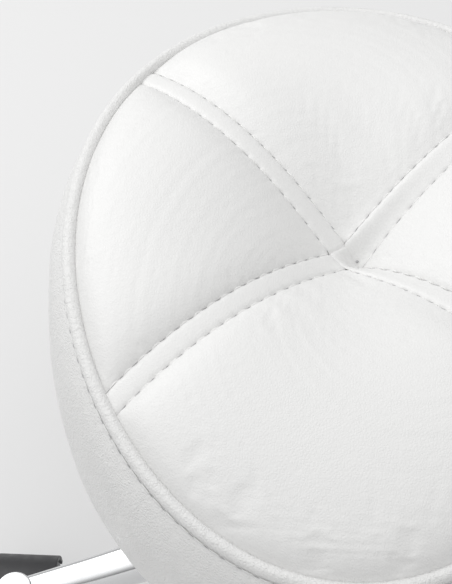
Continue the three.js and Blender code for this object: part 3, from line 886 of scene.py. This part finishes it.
def smooth_curve(points, count):
    """A smooth curve through the points, evenly spaced along its length."""
    fine = []
    extended = np.vstack([2 * points[0] - points[1], points, 2 * points[-1] - points[-2]])
    for i in range(1, len(extended) - 2):
        p0, p1, p2, p3 = extended[i - 1:i + 3]
        for t in np.linspace(0, 1, 24, endpoint=False):
            fine.append(0.5 * (2 * p1 + (p2 - p0) * t + (2 * p0 - 5 * p1 + 4 * p2 - p3) * t ** 2
                               + (3 * p1 - p0 - 3 * p2 + p3) * t ** 3))
    fine = np.array(fine + [points[-1]])
    length = running_length(*np.diff(fine, axis=0).T)
    at = np.linspace(0, length[-1], count)
    return np.stack([np.interp(at, length, fine[:, k]) for k in range(2)], -1)


def build_side_band():
    """The bulging side of the seat from the piping to the hem under the board."""
    outline = smooth_curve(SIDE_OUTLINE, 70)
    angle = np.linspace(0, TAU, SIDE_CELLS, endpoint=False)[:, None]
    share = np.linspace(0, 1, len(outline))[None, :]
    top_folds = wave_noise(21, (150, 290), 12)(angle + 0.01 * share)
    hem_folds = wave_noise(22, (60, 130), 10)(angle)
    drift = wave_noise(23, (3, 17), 6)(angle + share)
    beyond = outline[None, :, 0] + BAND_FOLD_HEIGHT * top_folds * np.exp(-share / FOLD_REACH)
    beyond = beyond + BAND_DRIFT_HEIGHT * drift * np.sin(math.pi * share)
    beyond = beyond + HEM_FOLD_HEIGHT * hem_folds * np.exp(-((share - HEM_PLACE) / FOLD_REACH) ** 2)
    x, y = ring_point(angle, beyond)
    z = band_height(outline[:, 1], angle)
    skin = settle(points_of(x, y, z), BAND_PRESSURE, BAND_SLACK, BAND_LIMIT, wrap=True)
    band = Builder().grid(skin, wrap_u=True).build("side_band_cover", 80)
    solidify(band, LEATHER_THICKNESS)
    finish_leather(band, "side_band", LEATHER_SIDE)


def build_foam():
    """The foam pad under the leather: its top follows the straps and its side follows the band."""
    board_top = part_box("seat_board")[1][2]
    angle = np.linspace(0, TAU, 200, endpoint=False)[:, None]
    share = np.linspace(0, 1, 60)[None, :] + 0.002
    x, y = ring_point(angle)
    x, y = x * share, y * share
    crown = points_of(x, y, base_height(x, y) - FOAM_GAP)
    outline = smooth_curve(SIDE_OUTLINE[2:-3], 30)
    x, y = ring_point(angle, outline[None, :, 0] - FOAM_GAP)
    height = band_height(outline[:, 1], angle)
    lowered = np.maximum(outline[:, 1] - FOAM_GAP, board_top + 0.3 * MM) - outline[:, 1]
    side = points_of(x, y, height + lowered)
    skin = np.concatenate([crown, side], axis=1)
    foam = Builder().grid(skin, wrap_u=True).fan(skin[:, 0]).fan(skin[:, -1], flip=True)
    foam = foam.build("foam_pad_body", 60)
    finish_piece(foam, "seat", "seat_foam", "foam_pad")


def build_rim_stitches():
    """Needle slots, drawn as thin dark tubes of painted shadow, and thread in the groove between the piping
    and the side band.
    """
    threads, slot_shades = Builder(), Builder()
    fine = np.linspace(0, TAU, 4001)
    x, y = ring_point(fine, RIM_SLOT_BEYOND)
    length = running_length(np.diff(x), np.diff(y))
    whole = length[-1]
    count = int(whole / RIM_PITCH)
    share = np.linspace(-0.5, 0.5, 9)
    hole_radius = HOLE_WIDTH * np.cos(share * 2.6)
    thread_radius = THREAD_RADIUS * (0.6 + 0.4 * np.cos(share * math.pi))
    for k in range(count):
        # Dark tubes of painted shadow for the slots, with the thread between them.
        for target, centre, run, radius in (
            (slot_shades, k, 0.8 * HOLE_LENGTH, hole_radius),
            (threads, k + 0.5, whole / count - HOLE_LENGTH, thread_radius),
        ):
            along = centre * whole / count + share * run
            angle = np.interp(along % whole, length, fine)
            x, y = ring_point(angle, RIM_SLOT_BEYOND)
            z = RIM_SLOT_HEIGHT + rim_height(angle)
            target.tube(points_of(x, y, z), (0, 0, 1), radius, 6)
    finish_stitches("rim", threads, slot_shades)


build_piping()
build_side_band()
build_rim_stitches()
build_foam()


# ---- turned and copied pieces

AROUND = 96


def turned_piece(name, profile, body, slot, *nodes, closed=False, matrix=None, edge=0.5, segments=AROUND):
    """A piece turned about a vertical axis from a profile in millimetres, then placed by a matrix."""
    outline = rounded(profile, edge, 4, closed)
    piece = revolve(Builder(), outline, segments, closed=closed).build(name, 35)
    if matrix is not None:
        piece.data.transform(matrix)
    return finish_piece(piece, body, slot, *nodes)


def combine(thing, tool, operation):
    """Cuts the tool out of a piece or joins it on, and removes the tool."""
    modifier = thing.modifiers.new("cut", "BOOLEAN")
    modifier.operation = operation
    modifier.solver = "EXACT"
    modifier.object = tool
    apply_modifiers(thing)
    bpy.data.objects.remove(tool)
    shade_smooth(thing.data, 35)


def rod_tool(radius, low, high, matrix):
    tool = revolve(Builder(), np.array([[0, low], [radius, low], [radius, high], [0, high]]) * MM, 48)
    tool = tool.build("tool", 35)
    tool.data.transform(matrix)
    return tool


def softened_node(node, body, slot, width):
    """The CAD piece with its sharp edges rounded over."""
    source = frame["nodes"][node]
    mesh = source.data.copy()
    mesh.transform(source.matrix_world)
    piece = add_object(node + "_finished", mesh)
    bevel(piece, width * MM)
    return finish_piece(piece, body, slot, node)


# ---- under the seat

STAPLE_COUNT = 64
STAPLE_WIDTH = 9 * MM
COVER_INSET = 9.6 * MM
PLATE_CORNER = 13

# Half widths and head height of a bolt, and the profile of the plate's socket, in millimetres.
BOLT_FLAT = 4.9
BOLT_SHANK = 3.0
BOLT_HEAD = 3.9
PLATE_SOCKET = [[15.5, 237.9], [18.65, 237.9], [18.65, 250], [17, 250], [17, 239.4], [15.5, 239.4]]


def build_dust_cover():
    """The felt under the board, with a rounded square opening that fits round the plate."""
    low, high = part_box("dust_cover")
    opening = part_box("seat_plate")[1][0] + 0.5 * MM
    wide, deep = SEAM_X - COVER_INSET, SEAM_Y - COVER_INSET
    angle = np.linspace(0, TAU, 320, endpoint=False)[:, None]
    share = np.linspace(0, 1, 36)[None, :]
    cos, sin = np.cos(angle), np.sin(angle)
    square = opening * (np.abs(cos) ** PLATE_CORNER + np.abs(sin) ** PLATE_CORNER) ** (-1 / PLATE_CORNER)
    x = cos * (square + (wide - square) * share)
    y = sin * (square + (deep - square) * share)
    sag = 0.35 * MM * wave_noise(31, (5, 23), 9)(angle + 0.3 * share) * np.sin(math.pi * share)
    z = high[2] - 0.25 * MM + np.minimum(sag, 0.2 * MM)
    cover = Builder().grid(points_of(x, y, z), wrap_u=True).build("felt_cover", 80)
    solidify(cover, 0.9 * MM, 1.0 if cover.data.polygons[0].normal.z < 0 else -1.0)
    finish_piece(cover, "seat", "dust_felt", "dust_cover")
    build_staples(low[2], wide - 6 * MM, deep - 6 * MM)


def build_staples(under, wide, deep):
    """Staples through the felt's edge, each a flat bridge with its two ends going up."""
    staples = Builder()
    draw = random.Random(5)
    run = np.linspace(-0.5, 0.5, 9)
    across = np.sign(run) * np.minimum(np.abs(run) * 1.3, 0.5) * STAPLE_WIDTH
    height = under - 0.45 * MM + np.maximum(np.abs(run) - 0.38, 0) * 11 * MM
    for k in range(STAPLE_COUNT):
        turn = TAU * (k + draw.uniform(-0.12, 0.12)) / STAPLE_COUNT
        lean = turn + math.pi / 2 + draw.uniform(-0.2, 0.2)
        x = wide * math.cos(turn) + math.cos(lean) * across
        y = deep * math.sin(turn) + math.sin(lean) * across
        staples.tube(points_of(x, y, height), (math.cos(turn), math.sin(turn), 0.3), 0.4 * MM, 6)
    finish_piece(staples.build("dust_cover_staples", 60), "seat", "zinc_steel")


def build_bolt(node):
    """A hex screw with a hollowed head below the seat plate."""
    low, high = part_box(node)
    turn = np.linspace(0, TAU, 72, endpoint=False)
    corner = (turn + math.radians(30)) % math.radians(60) - math.radians(30)
    flat = BOLT_FLAT / np.cos(corner)
    length = (high[2] - low[2]) / MM
    rings = []
    for radius, height in (
        (0, 0.5), (3.2, 0.3), (4.6, 0), (flat, 0.55), (flat, BOLT_HEAD),
        (BOLT_SHANK, BOLT_HEAD + 0.05), (BOLT_SHANK, length), (0, length),
    ):
        x = (low[0] + high[0]) / 2 + radius * MM * np.cos(turn)
        y = (low[1] + high[1]) / 2 + radius * MM * np.sin(turn)
        rings.append(points_of(x, y, low[2] + height * MM))
    bolt = Builder().grid(np.stack(rings), wrap_v=True).build(node + "_hex", 28)
    finish_piece(bolt, "seat", "zinc_steel", node)


build_dust_cover()
for bolt_index in range(1, 5):
    build_bolt(f"plate_bolt_{bolt_index}")
softened_node("seat_plate", "seat", "black_steel", 0.5)
turned_piece("plate_socket_skin", PLATE_SOCKET, "seat", "black_steel", closed=True, edge=0.4)
softened_node("seat_board", "seat", "plywood", 1.0)


# ---- release lever

# In millimetres, with profiles as [radius, height].
LEVER_HEIGHT = 279.3
LEVER_PIVOT_X = -38
LEVER_BEND_X = -52
LEVER_END_X = -205
LEVER_DROOP = math.radians(8)
LEVER_RADIUS = 4.0
GRIP_LENGTH = 56
PIVOT_PIN = [[0, -28], [1.6, -28], [2, -27.4], [2, 27.4], [1.6, 28], [0, 28]]
RELEASE_BUTTON = [[0, 260.5], [3.6, 260.5], [4, 261], [4, 273.6], [3.5, 274.3], [2.2, 274.8], [0, 274.9]]


def grip_profile():
    """The grip's outline: a hollow sleeve with a waist and fourteen ribs."""
    outline = [[0, 1], [4.5, 1], [4.5, -GRIP_LENGTH], [5.8, -GRIP_LENGTH], [7, 3 - GRIP_LENGTH]]
    for height in np.linspace(6 - GRIP_LENGTH, -8, 14):
        waist = 6.4 + 0.7 * (2 * height / GRIP_LENGTH + 1) ** 2
        for bulge, shift in ((0, -1.1), (0.45, -0.6), (0.45, 0.6), (0, 1.1)):
            outline.append([waist + bulge, height + shift])
    return outline + [[7.4, -2], [6.6, 3], [4, 4.5], [0, 5]]


def build_lever():
    """The bent rod with its pivot sleeve, the pivot pin, the button that it presses, and the grip."""
    straight = np.linspace([9, 0, LEVER_HEIGHT], [LEVER_BEND_X + 8, 0, LEVER_HEIGHT], 24)
    bend_end = np.array([LEVER_BEND_X - 8, 0, LEVER_HEIGHT - 8 * math.tan(LEVER_DROOP)])
    corner = np.array([LEVER_BEND_X, 0, LEVER_HEIGHT])
    t = np.linspace(0, 1, 10)[1:-1, None]
    curve = (1 - t) ** 2 * straight[-1] + 2 * t * (1 - t) * corner + t * t * bend_end
    end_height = LEVER_HEIGHT + (LEVER_END_X - LEVER_BEND_X) * math.tan(LEVER_DROOP)
    far = np.linspace(bend_end, [LEVER_END_X, 0, end_height], 60)
    path = np.vstack([straight, curve, far]) * MM
    radius = np.full(len(path), LEVER_RADIUS * MM)
    radius[[0, -1]] = (LEVER_RADIUS - 0.7) * MM
    lever = Builder().tube(path, (0, 0, 1), radius, 32).build("lever_rod", 50)
    pivot = Matrix.Translation(Vector((LEVER_PIVOT_X * MM, 0, LEVER_HEIGHT * MM)))
    pivot = pivot @ Matrix.Rotation(math.pi / 2, 4, "X")
    combine(lever, rod_tool(7, -6, 6, pivot), "UNION")
    combine(lever, rod_tool(2.3, -12, 12, pivot), "DIFFERENCE")
    bevel(lever, 0.35 * MM)
    finish_piece(lever, "lever", "chrome", "height_lever")
    turned_piece("lever_pivot", PIVOT_PIN, "seat", "zinc_steel", "lever_pivot_pin", matrix=pivot, segments=32)
    turned_piece("release_button", RELEASE_BUTTON, "pin", "zinc_steel", "release_pin", segments=48)
    place = (Matrix.Translation(Vector((LEVER_END_X * MM, 0, end_height * MM)))
             @ Matrix.Rotation(-math.pi / 2 - LEVER_DROOP, 4, "Y"))
    grip = grip_profile()
    turned_piece("grip_sleeve", grip, "lever", "black_nylon", "lever_grip", matrix=place, segments=64)


build_lever()


# ---- gas lift and column

# Name, body, slot, CAD node, options and [radius, height] profile in millimetres of each turned piece.
LIFT_PIECES = [
    ("gas_cylinder_tube", "seat", "chrome", "gas_cylinder", {}, [
        [0, 250], [12, 250], [12, 84], [14, 84], [14, 232], [12.6, 270], [4.3, 270], [4.3, 256], [0, 256],
    ]),
    ("column_tube", "base", "chrome", "outer_column", {"closed": True, "edge": 1.0}, [
        [4.6, 46], [25, 46], [25, 206], [23, 206], [23, 50], [4.6, 50],
    ]),
    ("column_bush_ring", "base", "black_nylon", "column_bush", {"closed": True, "edge": 0.6}, [
        [14.4, 128], [22.4, 128], [22.4, 206.3], [25, 206.3], [24.6, 208.6], [22.5, 210], [14.4, 210],
    ]),
    ("piston_rod_turned", "rod", "chrome", "piston_rod", {"edge": 0.3, "segments": 64}, [
        [0, 42], [4, 42], [4, 43.6], [3, 43.6], [3, 45.4], [4, 45.4], [4, 58.2], [7, 58.2], [7, 61.2],
        [5, 61.2], [5, 228], [11.6, 228], [11.6, 238], [0, 238],
    ]),
    ("rod_gland_ring", "seat", "black_nylon", "rod_gland", {"closed": True, "segments": 64}, [
        [5.3, 86], [11.6, 86], [11.6, 96], [5.3, 96],
    ]),
]

for lift_name, lift_body, lift_slot, lift_node, options, lift_profile in LIFT_PIECES:
    turned_piece(lift_name, lift_profile, lift_body, lift_slot, lift_node, **options)


# ---- star base

# In millimetres: heights and half width of an arm at distances from the axis, and [radius, height] profiles.
ARMS = 5
BASE_RADIUS = 215
ARM_SQUARENESS = 3.4
ARM_TOP = [[27, 117], [36, 115], [60, 105], [100, 95.3], [160, 86.6], [208, 82.6]]
ARM_UNDER = [[27, 69.7], [120, 64.5], [208, 62.2]]
ARM_HALF_WIDTH = [[27, 16.8], [208, 10.7]]
HUB = [[25.4, 64], [33, 64], [33, 114], [29.5, 120], [25.4, 120]]
STEM_SOCKET = [[0, 84], [12, 84], [12, 60.3], [6, 60.3], [6, 79], [0, 79]]


def build_star_base():
    """The hub, five arms whose sections are rounded rectangles, and a stem socket at each arm's end."""
    base = Builder()
    revolve(base, rounded(HUB, 1.6, 5, True), AROUND, closed=True)
    stations = np.linspace(ARM_TOP[0][0], ARM_TOP[-1][0], 70)
    top, under, half = (np.interp(stations, *np.transpose(p)) for p in (ARM_TOP, ARM_UNDER, ARM_HALF_WIDTH))
    top = np.convolve(np.pad(top, 4, "edge"), np.ones(9) / 9, "valid")
    turn = np.linspace(0, TAU, 40, endpoint=False)
    power = 2 / ARM_SQUARENESS
    side = np.sign(np.cos(turn)) * np.abs(np.cos(turn)) ** power
    rise = np.sign(np.sin(turn)) * np.abs(np.sin(turn)) ** power
    taper = 1 - 0.18 * (rise + 1) / 2
    socket = rounded(STEM_SOCKET, 1.5, 5)
    height = (top[:, None] + under[:, None]) / 2 + (top - under)[:, None] / 2 * rise
    width = half[:, None] * side * taper
    for k in range(ARMS):
        angle = TAU * k / ARMS
        cos, sin = math.cos(angle), math.sin(angle)
        x = stations[:, None] * cos - width * sin
        y = stations[:, None] * sin + width * cos
        arm = points_of(x, y, height) * MM
        base.grid(arm, wrap_v=True).fan(arm[0]).fan(arm[-1], flip=True)
        revolve(base, socket, 48, centre=(cos * BASE_RADIUS * MM, sin * BASE_RADIUS * MM))
    finish_piece(base.build("cast_star_base", 35), "base", "polished_aluminium", "star_base")


build_star_base()


# ---- casters

# In millimetres. The trail puts the hoods on the -X side as far out as the arm's end on the +X side.
HOOD_RADIUS = 29.5
WHEEL_RADIUS = 25
CASTER_TRAIL = BASE_RADIUS * (1 - math.cos(math.pi / ARMS)) + 12 - HOOD_RADIUS
AXLE_MIDDLE = Vector((0, -CASTER_TRAIL, WHEEL_RADIUS)) * MM
AXLE = Matrix.Translation(AXLE_MIDDLE) @ Matrix.Rotation(math.pi / 2, 4, "Y")
RIB_COUNT = 6
RIB = [[6.8, -1.2], [17, -0.9], [17, 0.9], [6.8, 1.2]]
HOOD = [
    [HOOD_RADIUS, -22], [HOOD_RADIUS, 22], [26.6, 22], [26.6, 7],
    [3.4, 7], [3.4, -7], [26.6, -7], [26.6, -22],
]
WEB = [[3.4, -7], [14, -7], [14, 7], [3.4, 7]]
TYRE = [[18.6, 8], [24.3, 7.6], [25, 9], [25, 20], [24, 21.4], [20, 21.5], [18.6, 20.6]]
WHEEL_HUB = [
    [0, 19.5], [3.3, 19.5], [3.3, 7.5], [6, 7.5], [6.5, 9.5], [18.4, 9.5], [18.4, 20.2], [16.8, 20.2],
    [16.2, 18.8], [7.2, 18.8], [6.4, 21.2], [0, 21.5],
]
CASTER_STEM = [[0, 40], [4.5, 40], [4.5, 60.6], [5.5, 60.6], [5.5, 76], [3.5, 78], [0, 78]]


def caster_place(k):
    """Where a caster's own frame stands: its stem at an arm's end, all casters turned the same way."""
    angle = TAU * k / ARMS
    stem = Vector((BASE_RADIUS * math.cos(angle), BASE_RADIUS * math.sin(angle), 0)) * MM
    return Matrix.Translation(stem) @ Matrix.Rotation(-math.pi / 2, 4, "Z")


def housing_mesh():
    """The hood over both wheels, its middle web and the stem boss, in the caster's own frame."""
    section = rounded(HOOD, 0.9, 4, True)
    hood = revolve(Builder(), section, 61, closed=True, turn=math.pi, start=math.pi / 2).build("hood", 35)
    web = revolve(Builder(), rounded(WEB, 0.9, 4, True), 48, closed=True).build("web", 35)
    hood.data.transform(AXLE)
    web.data.transform(AXLE)
    combine(hood, web, "UNION")
    combine(hood, rod_tool(9, 36, 59.6, Matrix.Identity(4)), "UNION")
    combine(hood, rod_tool(5.0, 39.5, 70, Matrix.Identity(4)), "DIFFERENCE")
    mesh = hood.data
    bpy.data.objects.remove(hood)
    return mesh


def wheel_meshes():
    """The tyre and the hub of the wheel on the +X side, in the caster's own frame."""
    tyre = revolve(Builder(), rounded(TYRE, 0.9, 5, True), AROUND, closed=True).build("tyre", 35)
    hub = revolve(Builder(), rounded(WHEEL_HUB, 0.5), 64)
    for k in range(RIB_COUNT):
        angle = TAU * k / RIB_COUNT
        cos, sin = math.cos(angle), math.sin(angle)
        turned = np.array(RIB) * MM @ np.array([[cos, sin], [-sin, cos]])
        middle = turned.mean(0)
        rows = []
        for height, shrink in ((18.2, 1.0), (19.8, 1.0), (20.1, 0.94)):
            flat = middle + (turned - middle) * shrink
            rows.append(np.column_stack([flat, np.full(4, height * MM)]))
        hub.grid(np.stack(rows), wrap_v=True).fan(rows[0]).fan(rows[-1], flip=True)
    hub = hub.build("hub", 35)
    meshes = []
    for thing in (tyre, hub):
        thing.data.transform(AXLE)
        meshes.append(thing.data)
        bpy.data.objects.remove(thing)
    return meshes


def placed_copy(name, mesh, matrix, mirrored=False):
    """A copy of a mesh in a caster's place, mirrored for the wheel on the other side."""
    copy = mesh.copy()
    if mirrored:
        copy.transform(Matrix.Scale(-1, 4, Vector((1, 0, 0))))
        copy.flip_normals()
    copy.transform(matrix)
    return add_object(name, copy)


def build_casters():
    housing = housing_mesh()
    tyre, hub = wheel_meshes()
    for k in range(ARMS):
        name = f"caster_{k + 1}"
        place = caster_place(k)
        turned_piece(name + "_stem_turned", CASTER_STEM, "base", "zinc_steel", name + "_stem", matrix=place,
                     edge=0.4, segments=40)
        finish_piece(placed_copy(name + "_hood", housing, place), name, "black_nylon", name + "_housing")
        for side, mirrored in (("right", False), ("left", True)):
            body = f"wheel_{k + 1}_{side}"
            node = f"{name}_wheel_{side}"
            finish_piece(placed_copy(node + "_tyre", tyre, place, mirrored), body, "grey_tyre", node)
            finish_piece(placed_copy(node + "_hub", hub, place, mirrored), body, "black_nylon")


build_casters()


# ---- camera, light and floor

CAMERA_DISTANCE = 0.760
CAMERA_ELEVATION = math.radians(48.1)
CAMERA_AZIMUTH = math.radians(-5.6)
CAMERA_YAW = math.radians(-4.7)
CAMERA_PITCH = math.radians(2.8)
CAMERA_ROLL = math.radians(-6.1)
CAMERA_LENS = 86.3

# A soft window at the far left, a sky that is brightest overhead, and an even pale floor with a little glow.
KEY_DIRECTION = (-0.50, -0.62, 0.58)
KEY_DISTANCE = 1.2
KEY_SIZE = 1.0
KEY_POWER = 4.6
SKY_DIRECTION = (-0.04, -0.2, 0.95)
SKY_DARK = 0.05
SKY_BRIGHT = 1.38
SKY_FALLOFF = 2.5
FLOOR_WHITE = 0.55
FLOOR_GLOW = 0.22
FLOOR_REACH = 6
LIT_POINT = (0, 0, 0.36)


def build_camera():
    data = bpy.data.cameras.new("camera")
    data.lens = CAMERA_LENS
    data.sensor_width = 36
    data.clip_start = 0.01
    camera = add_object("camera", data)
    away = Matrix.Rotation(-CAMERA_ELEVATION, 3, "Y") @ Vector((1, 0, 0))
    away = Matrix.Rotation(CAMERA_AZIMUTH, 3, "Z") @ away
    target = Vector((0, 0, SEAM_HEIGHT))
    aim = (-away).to_track_quat("-Z", "Y").to_matrix()
    turn = (Matrix.Rotation(-CAMERA_YAW, 3, "Y") @ Matrix.Rotation(-CAMERA_PITCH, 3, "X")
            @ Matrix.Rotation(-CAMERA_ROLL, 3, "Z"))
    camera.matrix_world = Matrix.Translation(target + away * CAMERA_DISTANCE) @ (aim @ turn).to_4x4()
    bpy.context.scene.camera = camera


def build_key_light():
    data = bpy.data.lights.new("key_light", "AREA")
    data.shape = "DISK"
    data.size = KEY_SIZE
    data.energy = KEY_POWER
    light = add_object("key_light", data)
    direction = Vector(KEY_DIRECTION).normalized()
    place = Vector(LIT_POINT) + KEY_DISTANCE * direction
    aim = (-direction).to_track_quat("-Z", "Y").to_matrix().to_4x4()
    light.matrix_world = Matrix.Translation(place) @ aim


def build_sky():
    """A white sky whose strength falls off with the angle from its brightest direction."""
    world = bpy.data.worlds.new("studio")
    world.use_nodes = True
    nodes, links = world.node_tree.nodes, world.node_tree.links
    direction = nodes.new("ShaderNodeTexCoord").outputs["Generated"]
    towards = nodes.new("ShaderNodeVectorMath")
    towards.operation = "DOT_PRODUCT"
    towards.inputs[1].default_value = Vector(SKY_DIRECTION).normalized()
    links.new(direction, towards.inputs[0])
    share = nodes.new("ShaderNodeMapRange")
    set_inputs(share, {"From Min": -1, "From Max": 1})
    links.new(towards.outputs["Value"], share.inputs["Value"])
    falloff = nodes.new("ShaderNodeMath")
    falloff.operation = "POWER"
    falloff.inputs[1].default_value = SKY_FALLOFF
    links.new(share.outputs["Result"], falloff.inputs[0])
    shade = nodes.new("ShaderNodeMapRange")
    set_inputs(shade, {"To Min": SKY_DARK, "To Max": SKY_BRIGHT})
    links.new(falloff.outputs["Value"], shade.inputs["Value"])
    links.new(shade.outputs["Result"], nodes["Background"].inputs["Strength"])
    set_inputs(nodes["Background"], {"Color": (1, 1, 1, 1)})
    bpy.context.scene.world = world


def build_floor():
    look = Look("pale_floor", (FLOOR_WHITE,) * 3, 0.8)
    set_inputs(look.shader, {"Emission Color": (1, 1, 1, 1), "Emission Strength": FLOOR_GLOW})
    corners = [(x * FLOOR_REACH, y * FLOOR_REACH, 0) for x, y in ((-1, -1), (1, -1), (1, 1), (-1, 1))]
    floor = new_object("floor", corners, [(0, 1, 2, 3)])
    floor.data.materials.append(look.material)


build_camera()
build_sky()
build_key_light()
build_floor()
bpy.context.scene.view_settings.view_transform = "Standard"


# ---- finishes of the CAD pieces that show

def finish_cad_nodes():
    slots = {part["node"]: part["material_slot"] for part in frame["record"]["subparts"]}
    for node, thing in frame["nodes"].items():
        thing.data.materials.clear()
        thing.data.materials.append(FINISHES[slots[node]])


finish_cad_nodes()
